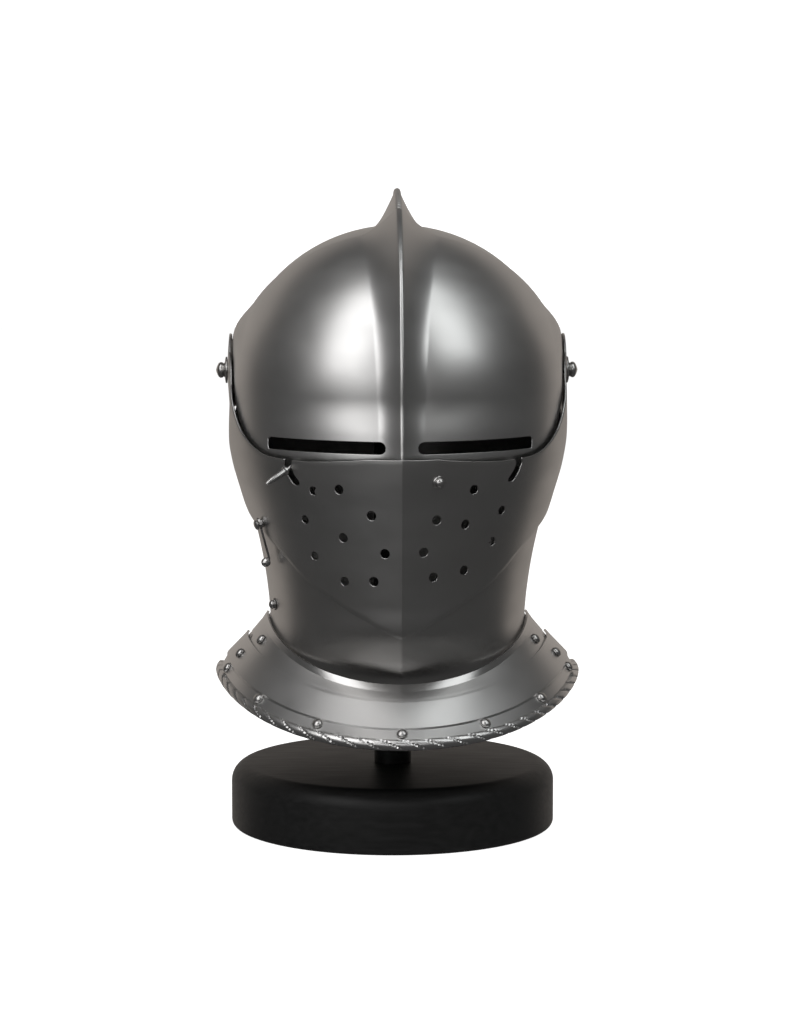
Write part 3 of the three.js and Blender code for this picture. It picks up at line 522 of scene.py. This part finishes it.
def makeBevor():
    look = bevorLook
    azimuth = np.linspace(0, 106.4, look["columns"])
    low, high = softTable(look["foot"], azimuth, 1.2), softTable(look["top"], azimuth, 1.2)
    z = low[:, None] + (high - low)[:, None] * np.linspace(0, 1, look["rows"])
    p = around(azimuth[:, None], reachAt("face", azimuth[:, None], z), z)
    n = formNormal("face", p)
    n[0, :, 0] = 0
    p = mirrorGrid(settle(p - n * bevorDepth, layerX["bevor"]))
    p, keep, normal = carve(p, [boltCut()])
    return plateMesh("bevor_plate", p, keep, normal, wall)


# Gorget: the section of the neck guard at each azimuth
gorgetLook = {
    "neckTop": dict(side=0, front=0, back=0, z=(144, 111, 126)),
    "neckTurn": dict(side=90, front=112, back=91, z=(139, 107, 122)),
    "step": dict(side=100.2, front=121, back=100, z=(127, 100.6, 115)),
    "border": dict(side=111.5, front=137, back=114, z=(115.3, 87, 103)),
    "rim": dict(side=115.2, front=145.4, back=122, z=(109, 81, 97)),
    "roll": 3.7, "sink": 1.0, "power": 1.6, "frontEnd": 97, "backStart": 84,
    "ropePitch": 14.0, "ropeCut": 1.15, "ropeLean": 0.85}
lap = wall + 0.3
gorgetLayer = {"frontCollar": lap + 0.5, "backCollar": 0.0, "frontLame": 0.3, "backLame": -lap - 0.1}


def onLine(name, azimuth):
    line = gorgetLook[name]
    s, c = np.sin(np.radians(azimuth)), np.cos(np.radians(azimuth))
    reach = np.where(c > 0, line["front"] + neckY, line["back"] - neckY)
    zSide, zFront, zBack = line["z"]
    zEnd = np.where(c > 0, zFront, zBack)
    soft = (np.sqrt(c * c + 0.01) - 0.1) / 0.905
    z = zSide + (zEnd - zSide) * soft ** gorgetLook["power"]
    r = 1 / np.hypot(s / max(line["side"], 1e-6), c / reach) if line["side"] else z * 0
    return np.stack([r, z], -1)


def beside(run, distance):
    # every point of each section moved sideways from its direction
    d = np.empty_like(run)
    d[:, 1:-1] = run[:, 2:] - run[:, :-2]
    d[:, 0] = run[:, 1] - run[:, 0]
    d[:, -1] = run[:, -1] - run[:, -2]
    d /= np.linalg.norm(d, axis=-1, keepdims=True)
    return run + np.stack([-d[..., 1], d[..., 0]], -1) * distance


def gorgetRun(azimuth, distance):
    turned = np.abs((azimuth + 180) % 360 - 180)

    def ring(z):
        return np.maximum(reachAt("skull", turned, z) + lap + wall + 0.7,
                          reachAt("face", turned, z) - bevorDepth + wall + 0.4)
    top = onLine("neckTop", azimuth)[:, 1]
    turn = onLine("neckTurn", azimuth)
    turn[:, 0] = np.maximum(turn[:, 0], ring(turn[:, 1]))
    border, rim = onLine("border", azimuth), onLine("rim", azimuth)
    out = rim - border
    out /= np.linalg.norm(out, axis=-1, keepdims=True)
    down = np.stack([out[:, 1], -out[:, 0]], -1) * gorgetLook["sink"]
    run = [np.stack([ring(top), top], -1), turn, onLine("step", azimuth), border,
           border + out + down, rim + down]
    return beside(np.stack(run, 1), distance)


def dense(run, parts):
    # extra points along each stretch of a section, crowded towards its corners
    pieces = []
    for k, n in enumerate(parts):
        t = np.linspace(0, 1, n, endpoint=False)
        t = t - 0.11 * np.sin(2 * np.pi * t)
        pieces.append(run[:, k:k + 1] * (1 - t)[None, :, None] + run[:, k + 1:k + 2] * t[None, :, None])
    pieces.append(run[:, -1:])
    return np.concatenate(pieces, 1)


def bandMesh(name, azimuth, section):
    # closed solid: section points (azimuth, place, [reach, height]) swept and capped by a fan
    p = around(azimuth[:, None], section[..., 0], section[..., 1])
    wide, count = p.shape[:2]
    index = np.arange(wide * count).reshape(wide, count)
    after = np.roll(index, -1, axis=1)
    quads = np.stack([index[:-1], after[:-1], after[1:], index[1:]], -1).reshape(-1, 4)
    n = count // 2
    strip = np.arange(n - 1)
    caps = []
    for row, flip in ((0, False), (wide - 1, True)):
        cap = np.stack([index[row, strip], index[row, count - 1 - strip],
                        index[row, count - 2 - strip], index[row, strip + 1]], 1)
        caps.append(cap[:, ::-1] if not flip else cap)
    return makeMesh(name, p.reshape(-1, 3), np.concatenate([quads] + caps), sharp=32)


def makeLame(name, azimuth, distance, past):
    outer, inner = (gorgetRun(azimuth, distance - d) for d in (0, wall))

    def pick(run):
        end = np.where(past[:, None] < 0, run[:, 1] * -past[:, None] + run[:, 2] * (1 + past[:, None]),
                       run[:, 2] * (1 - past[:, None]) + run[:, 3] * past[:, None])
        knee = run[:, 1] * 0.45 + run[:, 2] * 0.55
        return dense(np.stack([run[:, 0], run[:, 1], knee, end], 1), (6, 6, 5))
    return bandMesh(name, azimuth, np.concatenate([pick(outer), pick(inner)[:, ::-1]], 1))


def makeCollar(name, azimuth, distance, lapped):
    look = gorgetLook
    size = np.where(lapped, wall / 2, look["roll"])[:, None]
    sides = []
    for d in (0, wall):
        run = gorgetRun(azimuth, distance - d)
        run[:, 5] = np.where(lapped[:, None], run[:, 5] * 0.1 + run[:, 4] * 0.9, run[:, 5])
        start = run[:, 1] * 0.18 + run[:, 2] * 0.82
        sides.append(np.concatenate([start[:, None], run[:, 2:]], 1))
    outer, inner = sides
    way = outer[:, -1] - outer[:, -2]
    heading = np.arctan2(way[:, 1], way[:, 0])[:, None]
    centre = (outer[:, -1] + inner[:, -1]) / 2
    centre = centre + np.concatenate([np.cos(heading), np.sin(heading)], 1) * size * 0.8
    # the roll: a round whose reach dips along leaning cuts, like a rope
    turn = np.radians(np.linspace(118, -128, 17))[None]
    placed = around(azimuth, centre[:, 0], centre[:, 1])
    length = np.concatenate([[0], np.cumsum(np.linalg.norm(np.diff(placed, axis=0), axis=1))])
    middle = np.interp(0 if azimuth[0] < 0 else 180, azimuth, length)
    phase = (length - middle)[:, None] / look["ropePitch"] + turn * look["ropeLean"] / 1.6
    strand = np.abs(np.sin(np.pi * phase))
    dip = look["ropeCut"] * (1 - np.clip(strand / 0.30, 0, 1)) ** 1.2 * (size > 1)
    swell = 0.12 * np.sqrt(strand) * (size > 1)
    r = size - dip + swell - 0.2
    roll = np.stack([centre[:, :1] + r * np.cos(heading + turn),
                     centre[:, 1:] + r * np.sin(heading + turn)], -1)
    parts = (4, 12, 3, 8)
    section = np.concatenate([dense(outer, parts), roll, dense(inner, parts)[:, ::-1]], 1)
    return bandMesh(name, azimuth, section)


def turnedPiece(name, profile, at, axis, sides=40, lobes=0, depth=0.0, lobeRows=(0, 0), sharp=35):
    # round piece about a line: rows are (distance along it, radius) in mm; lobes scallop
    # the rows between lobeRows. A fan of triangles closes each end
    rows = np.array(profile, float)
    axis = np.array(axis, float) / np.linalg.norm(axis)
    side = np.cross(axis, [0, 0, 1.0] if abs(axis[2]) < 0.9 else [1.0, 0, 0])
    side /= np.linalg.norm(side)
    other = np.cross(axis, side)
    a = np.linspace(0, 2 * np.pi, sides, endpoint=False)
    ring = np.cos(a)[:, None] * side + np.sin(a)[:, None] * other
    scale = np.ones((len(rows), sides))
    scale[lobeRows[0]:lobeRows[1]] += depth * (np.abs(np.cos(a * lobes / 2)) - 0.6)
    p = np.array(at, float) + rows[:, None, :1] * axis + rows[:, None, 1:] * scale[..., None] * ring
    index = np.arange(p.shape[0] * sides).reshape(p.shape[0], sides)
    after = np.roll(index, -1, axis=1)
    quads = np.stack([index[:-1], after[:-1], after[1:], index[1:]], -1).reshape(-1, 4)
    points = p.reshape(-1, 3)
    ends = np.array([points[index[0]].mean(0), points[index[-1]].mean(0)])
    first, last = len(points), len(points) + 1
    points = np.concatenate([points, ends])
    capA = np.stack([index[0], after[0]], 1)
    capB = np.stack([after[-1], index[-1]], 1)
    tris = np.concatenate([np.column_stack([capA[:, ::-1], np.full(sides, first)]),
                           np.column_stack([capB[:, ::-1], np.full(sides, last)])])
    mesh = bpy.data.meshes.new(name)
    mesh.from_pydata((points * 0.001).tolist(), [], quads.tolist() + tris.tolist())
    mesh.validate()
    mesh.polygons.foreach_set("use_smooth", np.ones(len(mesh.polygons), bool))
    mesh.set_sharp_from_angle(angle=math.radians(sharp))
    obj = bpy.data.objects.new(name, mesh)
    bpy.context.scene.collection.objects.link(obj)
    return obj


def dome(radius, height, foot=0.0, rows=9):
    # profile of a domed head: a quarter round scaled to its radius and height
    t = np.linspace(0, 1, rows) * np.pi / 2 * 0.995
    curve = [(foot + height * math.sin(k), radius * math.cos(k)) for k in t]
    return [(0.0, radius * 0.98), (foot * 0.9, radius)] + curve if foot else [(0.0, radius)] + curve[1:]


def onGorget(distance, azimuth, stretch, share):
    # place and outward direction on the gorget
    def pick(at, past):
        run = gorgetRun(np.array([float(at)]), distance)[0]
        q = run[stretch] * (1 - past) + run[stretch + 1] * past
        return around(float(at), q[0], q[1])
    n = np.cross(pick(azimuth, 1) - pick(azimuth, 0), pick(azimuth + 0.5, share) - pick(azimuth - 0.5, share))
    return pick(azimuth, share), n / np.linalg.norm(n)


# Materials, all from the object's own coordinates
def newMaterial(name):
    material = bpy.data.materials.new(name)
    material.use_nodes = True
    tree = material.node_tree
    shader = tree.nodes["Principled BSDF"]
    place = tree.nodes.new("ShaderNodeTexCoord").outputs["Object"]
    return material, tree, shader, place


def noiseNode(tree, place, scale, detail=4.0, stretch=(1, 1, 1)):
    mapping = tree.nodes.new("ShaderNodeMapping")
    mapping.inputs["Scale"].default_value = stretch
    tree.links.new(place, mapping.inputs["Vector"])
    noise = tree.nodes.new("ShaderNodeTexNoise")
    noise.inputs["Scale"].default_value = scale
    noise.inputs["Detail"].default_value = detail
    tree.links.new(mapping.outputs["Vector"], noise.inputs["Vector"])
    return noise.outputs["Fac"]


def rampNode(tree, value, stops):
    ramp = tree.nodes.new("ShaderNodeValToRGB")
    ramp.color_ramp.elements[0].position, ramp.color_ramp.elements[0].color = stops[0]
    ramp.color_ramp.elements[1].position, ramp.color_ramp.elements[1].color = stops[-1]
    for position, colour in stops[1:-1]:
        ramp.color_ramp.elements.new(position).color = colour
    tree.links.new(value, ramp.inputs["Fac"])
    return ramp.outputs["Color"]


def rangeNode(tree, value, low, high, fromLow=0.3, fromHigh=0.7):
    node = tree.nodes.new("ShaderNodeMapRange")
    for key, number in zip(("From Min", "From Max", "To Min", "To Max"), (fromLow, fromHigh, low, high)):
        node.inputs[key].default_value = number
    tree.links.new(value, node.inputs["Value"])
    return node.outputs["Result"]


def bumpNode(tree, height, strength, distance, before=None):
    node = tree.nodes.new("ShaderNodeBump")
    node.inputs["Strength"].default_value = strength
    node.inputs["Distance"].default_value = distance
    tree.links.new(height, node.inputs["Height"])
    if before:
        tree.links.new(before, node.inputs["Normal"])
    return node.outputs["Normal"]


def grey(v, warm=0.0):
    return (v * (1 + warm), v, v * (1 - warm), 1)


def steelMaterial(name, tone, warm, roughness, wave, brush):
    # satin steel: faint clouds of tone and polish, a slight unevenness and fine brushing
    material, tree, shader, place = newMaterial(name)
    cloud = noiseNode(tree, place, 9, 3)
    stops = [(0.28, grey(tone * 0.95, warm)), (0.5, grey(tone, warm * 0.7)),
             (0.74, grey(tone * 1.04, warm * 0.4))]
    tree.links.new(rampNode(tree, cloud, stops), shader.inputs["Base Color"])
    shader.inputs["Metallic"].default_value = 1.0
    smear = noiseNode(tree, place, 30, 5, (1, 1, 2.2))
    tree.links.new(rangeNode(tree, smear, roughness * 0.93, roughness * 1.08), shader.inputs["Roughness"])
    hammer = bumpNode(tree, noiseNode(tree, place, 26, 1), wave, 0.0006)
    hair = noiseNode(tree, place, 900, 3, (1, 1, 0.05))
    tree.links.new(bumpNode(tree, hair, brush, 0.00003, hammer), shader.inputs["Normal"])
    return material


def woodMaterial():
    # satin black lacquer with a faint grain
    material, tree, shader, place = newMaterial("black_wood")
    grain = noiseNode(tree, place, 120, 5, (0.3, 3, 3))
    stops = [(0.3, grey(0.004)), (0.72, grey(0.008))]
    tree.links.new(rampNode(tree, grain, stops), shader.inputs["Base Color"])
    tree.links.new(rangeNode(tree, grain, 0.44, 0.52), shader.inputs["Roughness"])
    shader.inputs["Specular IOR Level"].default_value = 0.3
    tree.links.new(bumpNode(tree, grain, 0.08, 0.0002), shader.inputs["Normal"])
    return material


looks = {
    "bright": dict(tone=0.55, warm=0.015, roughness=0.37, wave=0.05, brush=0.16),
    # side: the same steel as bright with its tone painted darker, as painted shade for the ventail and bevor,
    # which face the dark front
    "side": dict(tone=0.47, warm=0.025, roughness=0.37, wave=0.05, brush=0.16),
    "collar": dict(tone=0.58, warm=0.015, roughness=0.34, wave=0.07, brush=0.24),
    "fitting": dict(tone=0.50, warm=0.03, roughness=0.30, wave=0.02, brush=0.1),
}
bright = steelMaterial("polished_steel", **looks["bright"])
# a darker copy of the polished steel: painted shade for the ventail and bevor
side = steelMaterial("polished_steel_painted_shade", **looks["side"])
collarSteel = steelMaterial("brushed_collar_steel", **looks["collar"])
fitting = steelMaterial("fitting_steel", **looks["fitting"])
wood = woodMaterial()

# The pieces
finishPiece(makeSkull(), bright, "skull_on_stand", "steel", "skull")
finishPiece(makeVisor(), bright, "visor", "steel", "visor")
# the ventail and bevor get the darker steel copy, whose tone is painted shade
finishPiece(makeVentail(), side, "ventail", "dark_steel", "ventail")
finishPiece(makeBevor(), side, "bevor", "dark_steel", "bevor")

frontSpan = np.linspace(-gorgetLook["frontEnd"], gorgetLook["frontEnd"], 561)
backSpan = np.linspace(gorgetLook["backStart"], 360 - gorgetLook["backStart"], 521)
frontPast = 0.3 - 0.65 * smoothStep(np.abs(frontSpan), 78, 80.5)
finishPiece(makeLame("throat_lame_plate", frontSpan, gorgetLayer["frontLame"], frontPast),
            collarSteel, "bevor", "steel", "throat_lame")
finishPiece(makeLame("nape_lame_plate", backSpan, gorgetLayer["backLame"], np.full(len(backSpan), 0.3)),
            collarSteel, "skull_on_stand", "steel", "nape_lame")
finishPiece(makeCollar("front_collar_plate", frontSpan, gorgetLayer["frontCollar"],
                       np.zeros(len(frontSpan), bool)),
            collarSteel, "bevor", "steel", "front_collar")
lapped = np.abs(backSpan - 180) > 180 - gorgetLook["frontEnd"] - 4
finishPiece(makeCollar("back_collar_plate", backSpan, gorgetLayer["backCollar"], lapped),
            collarSteel, "skull_on_stand", "steel", "back_collar")

rivetLook = {"radius": 3.5, "height": 2.4, "sides": 28, "border": (0, 24, 48, 76)}
rivetProfile = dome(rivetLook["radius"], rivetLook["height"], 0.3)


def rivetOn(node, body, layer, azimuth, stretch, share):
    at, n = onGorget(gorgetLayer[layer], azimuth, stretch, share)
    piece = turnedPiece(node + "_head", rivetProfile, at + n * 0.35, n, rivetLook["sides"])
    finishPiece(piece, fitting, body, "steel", node)


for angle in rivetLook["border"]:
    for sign in ((1,) if angle == 0 else (-1, 1)):
        label = ("left" if sign < 0 else "right") + "_" + str(angle)
        rivetOn("front_rivet_" + label, "bevor", "frontCollar", angle * sign, 4, 0.4)
        rivetOn("back_rivet_" + label, "skull_on_stand", "backCollar", 180 - 0.9 * angle * sign, 4, 0.4)
for sign, label in ((-1, "left"), (1, "right")):
    rivetOn("throat_rivet_" + label, "bevor", "frontLame", 70 * sign, 1, 0.4)
    rivetOn("front_side_rivet_" + label, "bevor", "frontCollar", 74 * sign, 2, 0.45)

# pivot bolts: nut, shank, scalloped washer and a knob with a pointed end
boltProfile = [(0, 4.6), (2.5, 4.6), (2.5, 2.6), (14.8, 2.6), (14.8, 8.3), (15.5, 8.5), (16.0, 8.1),
               (16.3, 6.6), (16.5, 5.0), (17.2, 4.4), (18.0, 5.1), (19.3, 5.3), (20.5, 4.6),
               (21.4, 3.0), (22.0, 1.4), (22.3, 0.2)]
boltFrom = layerX["skull"] - wall - seat - 4.9
for sign, label in ((-1, "left"), (1, "right")):
    bolt = turnedPiece("pivot_knob_" + label, boltProfile, (boltFrom * sign, 0, pivotZ), (sign, 0, 0),
                       64, lobes=8, depth=0.10, lobeRows=(4, 8), sharp=50)
    finishPiece(bolt, fitting, "skull_on_stand", "steel", "pivot_bolt_" + label)


# roped crest of the comb: a bar along the crest whose radius dips along leaning cuts
crestLook = {"from": 62.5, "to": 168, "radius": 2.25, "pitch": 3.6, "cut": 0.55, "sink": 1.9,
             "steps": 760, "sides": 20}


def makeCrest():
    look = crestLook
    angle = np.linspace(look["from"], look["to"], look["steps"])
    base, _ = aboutPivot(chart("skull", (0, pivotZ), angle * 0, angle))
    height, _ = combShape(angle)
    r = base + height - look["sink"]
    a = np.radians(angle)
    sides = look["sides"]
    turn = np.linspace(0, 2 * np.pi, sides, endpoint=False)
    length = np.concatenate([[0], np.cumsum(np.hypot(np.diff(r), r[1:] * np.diff(a)))])
    phase = length[:, None] / look["pitch"] + turn / (2 * np.pi)
    dip = look["cut"] * (1 - np.clip(np.abs(np.sin(np.pi * phase)) / 0.6, 0, 1)) ** 1.4
    taper = smoothStep(angle, look["to"], look["to"] - 22)
    size = (look["radius"] - dip) * (0.35 + 0.65 * taper[:, None])
    out = r[:, None] + size * np.cos(turn)
    p = np.stack([size * np.sin(turn), -out * np.cos(a)[:, None], pivotZ + out * np.sin(a)[:, None]], -1)
    index = np.arange(p.shape[0] * sides).reshape(-1, sides)
    after = np.roll(index, -1, axis=1)
    quads = np.stack([index[:-1], index[1:], after[1:], after[:-1]], -1).reshape(-1, 4)
    k = np.arange(sides // 2 - 1)
    across = sides - 1 - k
    capA = np.stack([index[0, k], index[0, k + 1], index[0, across - 1], index[0, across]], 1)
    capB = np.stack([index[-1, across], index[-1, across - 1], index[-1, k + 1], index[-1, k]], 1)
    return makeMesh("comb_roping", p.reshape(-1, 3), np.concatenate([quads, capA, capB]), sharp=60)


finishPiece(makeCrest(), bright, "skull_on_stand", "steel")

# Round fittings: where each stands, and rows of distance along its way out and radius
domedStud = [(0, 4.0), (0.4, 4.05), (0.7, 3.8), (0.75, 2.6), (1.0, 2.7), (1.5, 3.0), (2.1, 2.9), (2.8, 2.4),
             (3.4, 1.5), (3.8, 0.15)]
pegLook = {"angle": -25.6, "radius": 120.2, "way": (-18, -12, -11.5), "back": 1.5,
           "profile": [(0, 1.2), (9.6, 1.2), (9.7, 2.4), (10.1, 2.9), (11.2, 2.9), (11.6, 2.5), (11.8, 2.2),
                       (16, 2.1), (21, 2.0), (23, 1.7), (25.5, 1.25), (27, 0.7), (27.3, 0.15)]}
sightStudLook = {"x": -7.5, "z": 265, "sunk": 0.1, "way": (-0.5, -1, -0.1),
                 "profile": [(0, 1.7), (0.8, 1.75), (1.3, 1.5), (1.7, 1.0), (2.0, 0.15)]}
springStudLook = {"x": 22.9, "z": 243.9, "profile": domedStud}
throatStudLook = {"azimuth": 64, "z": 155, "profile": domedStud}
hookStudLook = {"azimuth": 56.5, "z": 210.4,
                "profile": [(0, 2.8), (0.7, 2.8), (0.8, 1.5), (3.3, 1.5), (3.35, 3.2), (3.7, 3.5),
                            (4.3, 3.1), (4.9, 2.0), (5.2, 0.2)]}


def unit(way):
    return np.array(way, float) / np.linalg.norm(way)


def pegPlace():
    # on the left of the visor's margin, where it has the peg's distance from the pivot
    # axis, found by halving; the peg starts a little inside
    look = pegLook
    near, far = 1.0, 1.45
    for _ in range(30):
        mid = (near + far) / 2
        if aboutPivot(visorPoint(mid, look["angle"]))[0] > look["radius"]:
            near = mid
        else:
            far = mid
    way = unit(look["way"])
    return visorPoint(near, look["angle"]) * (-1, 1, 1) - way * look["back"], way


def sightStudPlace():
    look = sightStudLook
    return frontPoint("visor", look["x"], look["z"]) + (0, look["sunk"], 0), unit(look["way"])


def offFace(at):
    way = formNormal("face", at)
    return at + way * seat, way


def leftOfFace(look, depth):
    # on the left, at an azimuth and height, a depth inside the face form
    reach = reachAt("face", look["azimuth"], look["z"]) - depth
    return offFace(around(-look["azimuth"], reach, look["z"]))


fittings = [
    ("lifting_peg", "visor", pegPlace(), pegLook),
    ("sight_stud", "visor", sightStudPlace(), sightStudLook),
    ("spring_stud", "ventail", offFace(frontPoint("face", springStudLook["x"], springStudLook["z"])),
     springStudLook),
    ("throat_stud", "bevor", leftOfFace(throatStudLook, bevorDepth), throatStudLook),
    ("hook_stud", "ventail", leftOfFace(hookStudLook, 0), hookStudLook),
]
for node, body, (at, way), look in fittings:
    piece = turnedPiece(node + "_turned", look["profile"], at, way, 36, sharp=42)
    finishPiece(piece, fitting, body, "steel", node)
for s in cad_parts["swivel_hook"].material_slots:
    s.link = "OBJECT"
    s.material = fitting

# Stand: a turned disc with a large rounded edge, and the post with the pad under the crown
standLook = {"x": -3.0, "postY": -4.0, "radius": 108.0, "height": 42.0, "topRound": 12.0,
             "footRound": 4.0, "post": 12.25, "padHeight": 26.0, "padFoot": 6.0, "padRadius": 24.0,
             "padDrop": 4.35, "crownRadius": 14.0, "crownDrop": 1.15}


def makeStand():
    look = standLook
    a = np.radians(np.linspace(-90, 0, 7))
    b = np.radians(np.linspace(0, 90, 16))
    foot, top = look["footRound"], look["topRound"]
    low, high, wide = foot, look["height"] - top, look["radius"]
    rows = [(low + foot * u, wide - foot + foot * v) for u, v in zip(np.sin(a), np.cos(a))]
    rows += [(high + top * u, wide - top + top * v) for u, v in zip(np.sin(b), np.cos(b))]
    rows = [(0.0, 1.0)] + rows + [(look["height"], 1.0)]
    finishPiece(turnedPiece("stand_disc", rows, (look["x"], 0, 0), (0, 0, 1), 128, sharp=60),
                wood, "skull_on_stand", "black_wood", "stand_base")
    end = 1000 * float(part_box("stand_post")[1][2])
    padFrom = end - look["padHeight"]
    rows = [(look["height"] + seat, look["post"]), (padFrom, look["post"]),
            (padFrom + look["padFoot"], look["padRadius"]), (end - look["padDrop"], look["padRadius"]),
            (end - look["crownDrop"], look["crownRadius"]), (end, 0.4)]
    finishPiece(turnedPiece("stand_shaft", rows, (look["x"], look["postY"], 0), (0, 0, 1), 64, sharp=30),
                wood, "skull_on_stand", "black_wood", "stand_post")


makeStand()

# Floor, backdrop, lights and camera
stageLook = {"white": 0.9, "floorGlow": 0.97, "backGlow": 1.0, "world": 0.14}


def stagePlane(name, size, place, turn, glow):
    mesh = bpy.data.meshes.new(name)
    h = size / 2
    mesh.from_pydata([(-h, -h, 0), (h, -h, 0), (h, h, 0), (-h, h, 0)], [], [(0, 1, 2, 3)])
    obj = bpy.data.objects.new(name, mesh)
    obj.location, obj.rotation_euler = place, turn
    bpy.context.scene.collection.objects.link(obj)
    material, tree, shader, _ = newMaterial(name)
    white = stageLook["white"]
    shader.inputs["Base Color"].default_value = (white, white, white, 1)
    shader.inputs["Roughness"].default_value = 0.9
    shader.inputs["Emission Color"].default_value = (1, 1, 1, 1)
    shader.inputs["Emission Strength"].default_value = glow
    mesh.materials.append(material)
    return obj


floor = stagePlane("floor", 14, (0, 0, 0), (0, 0, 0), stageLook["floorGlow"])
floor.visible_glossy = False
backdrop = stagePlane("backdrop", 14, (0, 6.5, 0), (math.radians(90), 0, 0), stageLook["backGlow"])
backdrop.visible_glossy = False
backdrop.visible_diffuse = False

scene = bpy.context.scene
scene.view_settings.view_transform = "Standard"
world = bpy.data.worlds.new("studio")
scene.world = world
world.use_nodes = True
world.node_tree.nodes["Background"].inputs["Color"].default_value = (0.5, 0.5, 0.5, 1)
world.node_tree.nodes["Background"].inputs["Strength"].default_value = stageLook["world"]

softLights = [
    # name, place, size in x and y, power, warmth, aimed at
    ("key_left", (-0.78, -0.90, 1.36), (0.85, 2.00), 13.5, 0.0, (0, 0, 0.33)),
    ("key_right", (0.74, -0.68, 1.46), (0.70, 1.70), 7.2, -0.03, (0, 0, 0.33)),
    ("front_high", (-0.1, -2.00, 0.80), (1.10, 0.60), 3.6, 0.0, (0, 0, 0.33)),
    ("front_left", (-1.25, -2.00, 0.30), (0.90, 0.90), 1.6, 0.0, (0, 0, 0.25)),
    ("surround", (0.0, 2.40, 0.55), (7.5, 3.60), 33.0, 0.10, (0, 0, 0.35)),
]
for name, place, size, power, warmth, aim in softLights:
    data = bpy.data.lights.new(name, "AREA")
    data.shape = "RECTANGLE"
    data.size, data.size_y = size
    data.energy = power
    data.color = (1, 1 - warmth, 1 - 1.9 * warmth) if warmth > 0 else (1 + warmth, 1, 1)
    lamp = bpy.data.objects.new(name, data)
    lamp.location = place
    lamp.rotation_euler = (Vector(aim) - Vector(place)).to_track_quat("-Z", "Y").to_euler()
    lamp.visible_camera = False
    scene.collection.objects.link(lamp)

# the lens follows from the photograph's height and the fitted focal length, both in pixels
cameraLook = {"distance": 2.100, "height": 0.211, "down": 6.26, "turn": 1.3, "sensor": 24,
              "photoHigh": 1021, "focalLength": 3150}
down, turnBy = math.radians(cameraLook["down"]), math.radians(cameraLook["turn"])
forward = Vector((math.sin(turnBy) * math.cos(down), math.cos(turnBy) * math.cos(down), -math.sin(down)))
cameraData = bpy.data.cameras.new("camera")
cameraData.sensor_fit = "VERTICAL"
cameraData.sensor_height = cameraLook["sensor"]
cameraData.lens = cameraLook["focalLength"] / cameraLook["photoHigh"] * cameraLook["sensor"]
cameraData.dof.use_dof = False
camera = bpy.data.objects.new("camera", cameraData)
camera.location = Vector((0, 0, cameraLook["height"])) - forward * cameraLook["distance"]
camera.rotation_euler = forward.to_track_quat("-Z", "Y").to_euler()
scene.collection.objects.link(camera)
scene.camera = camera
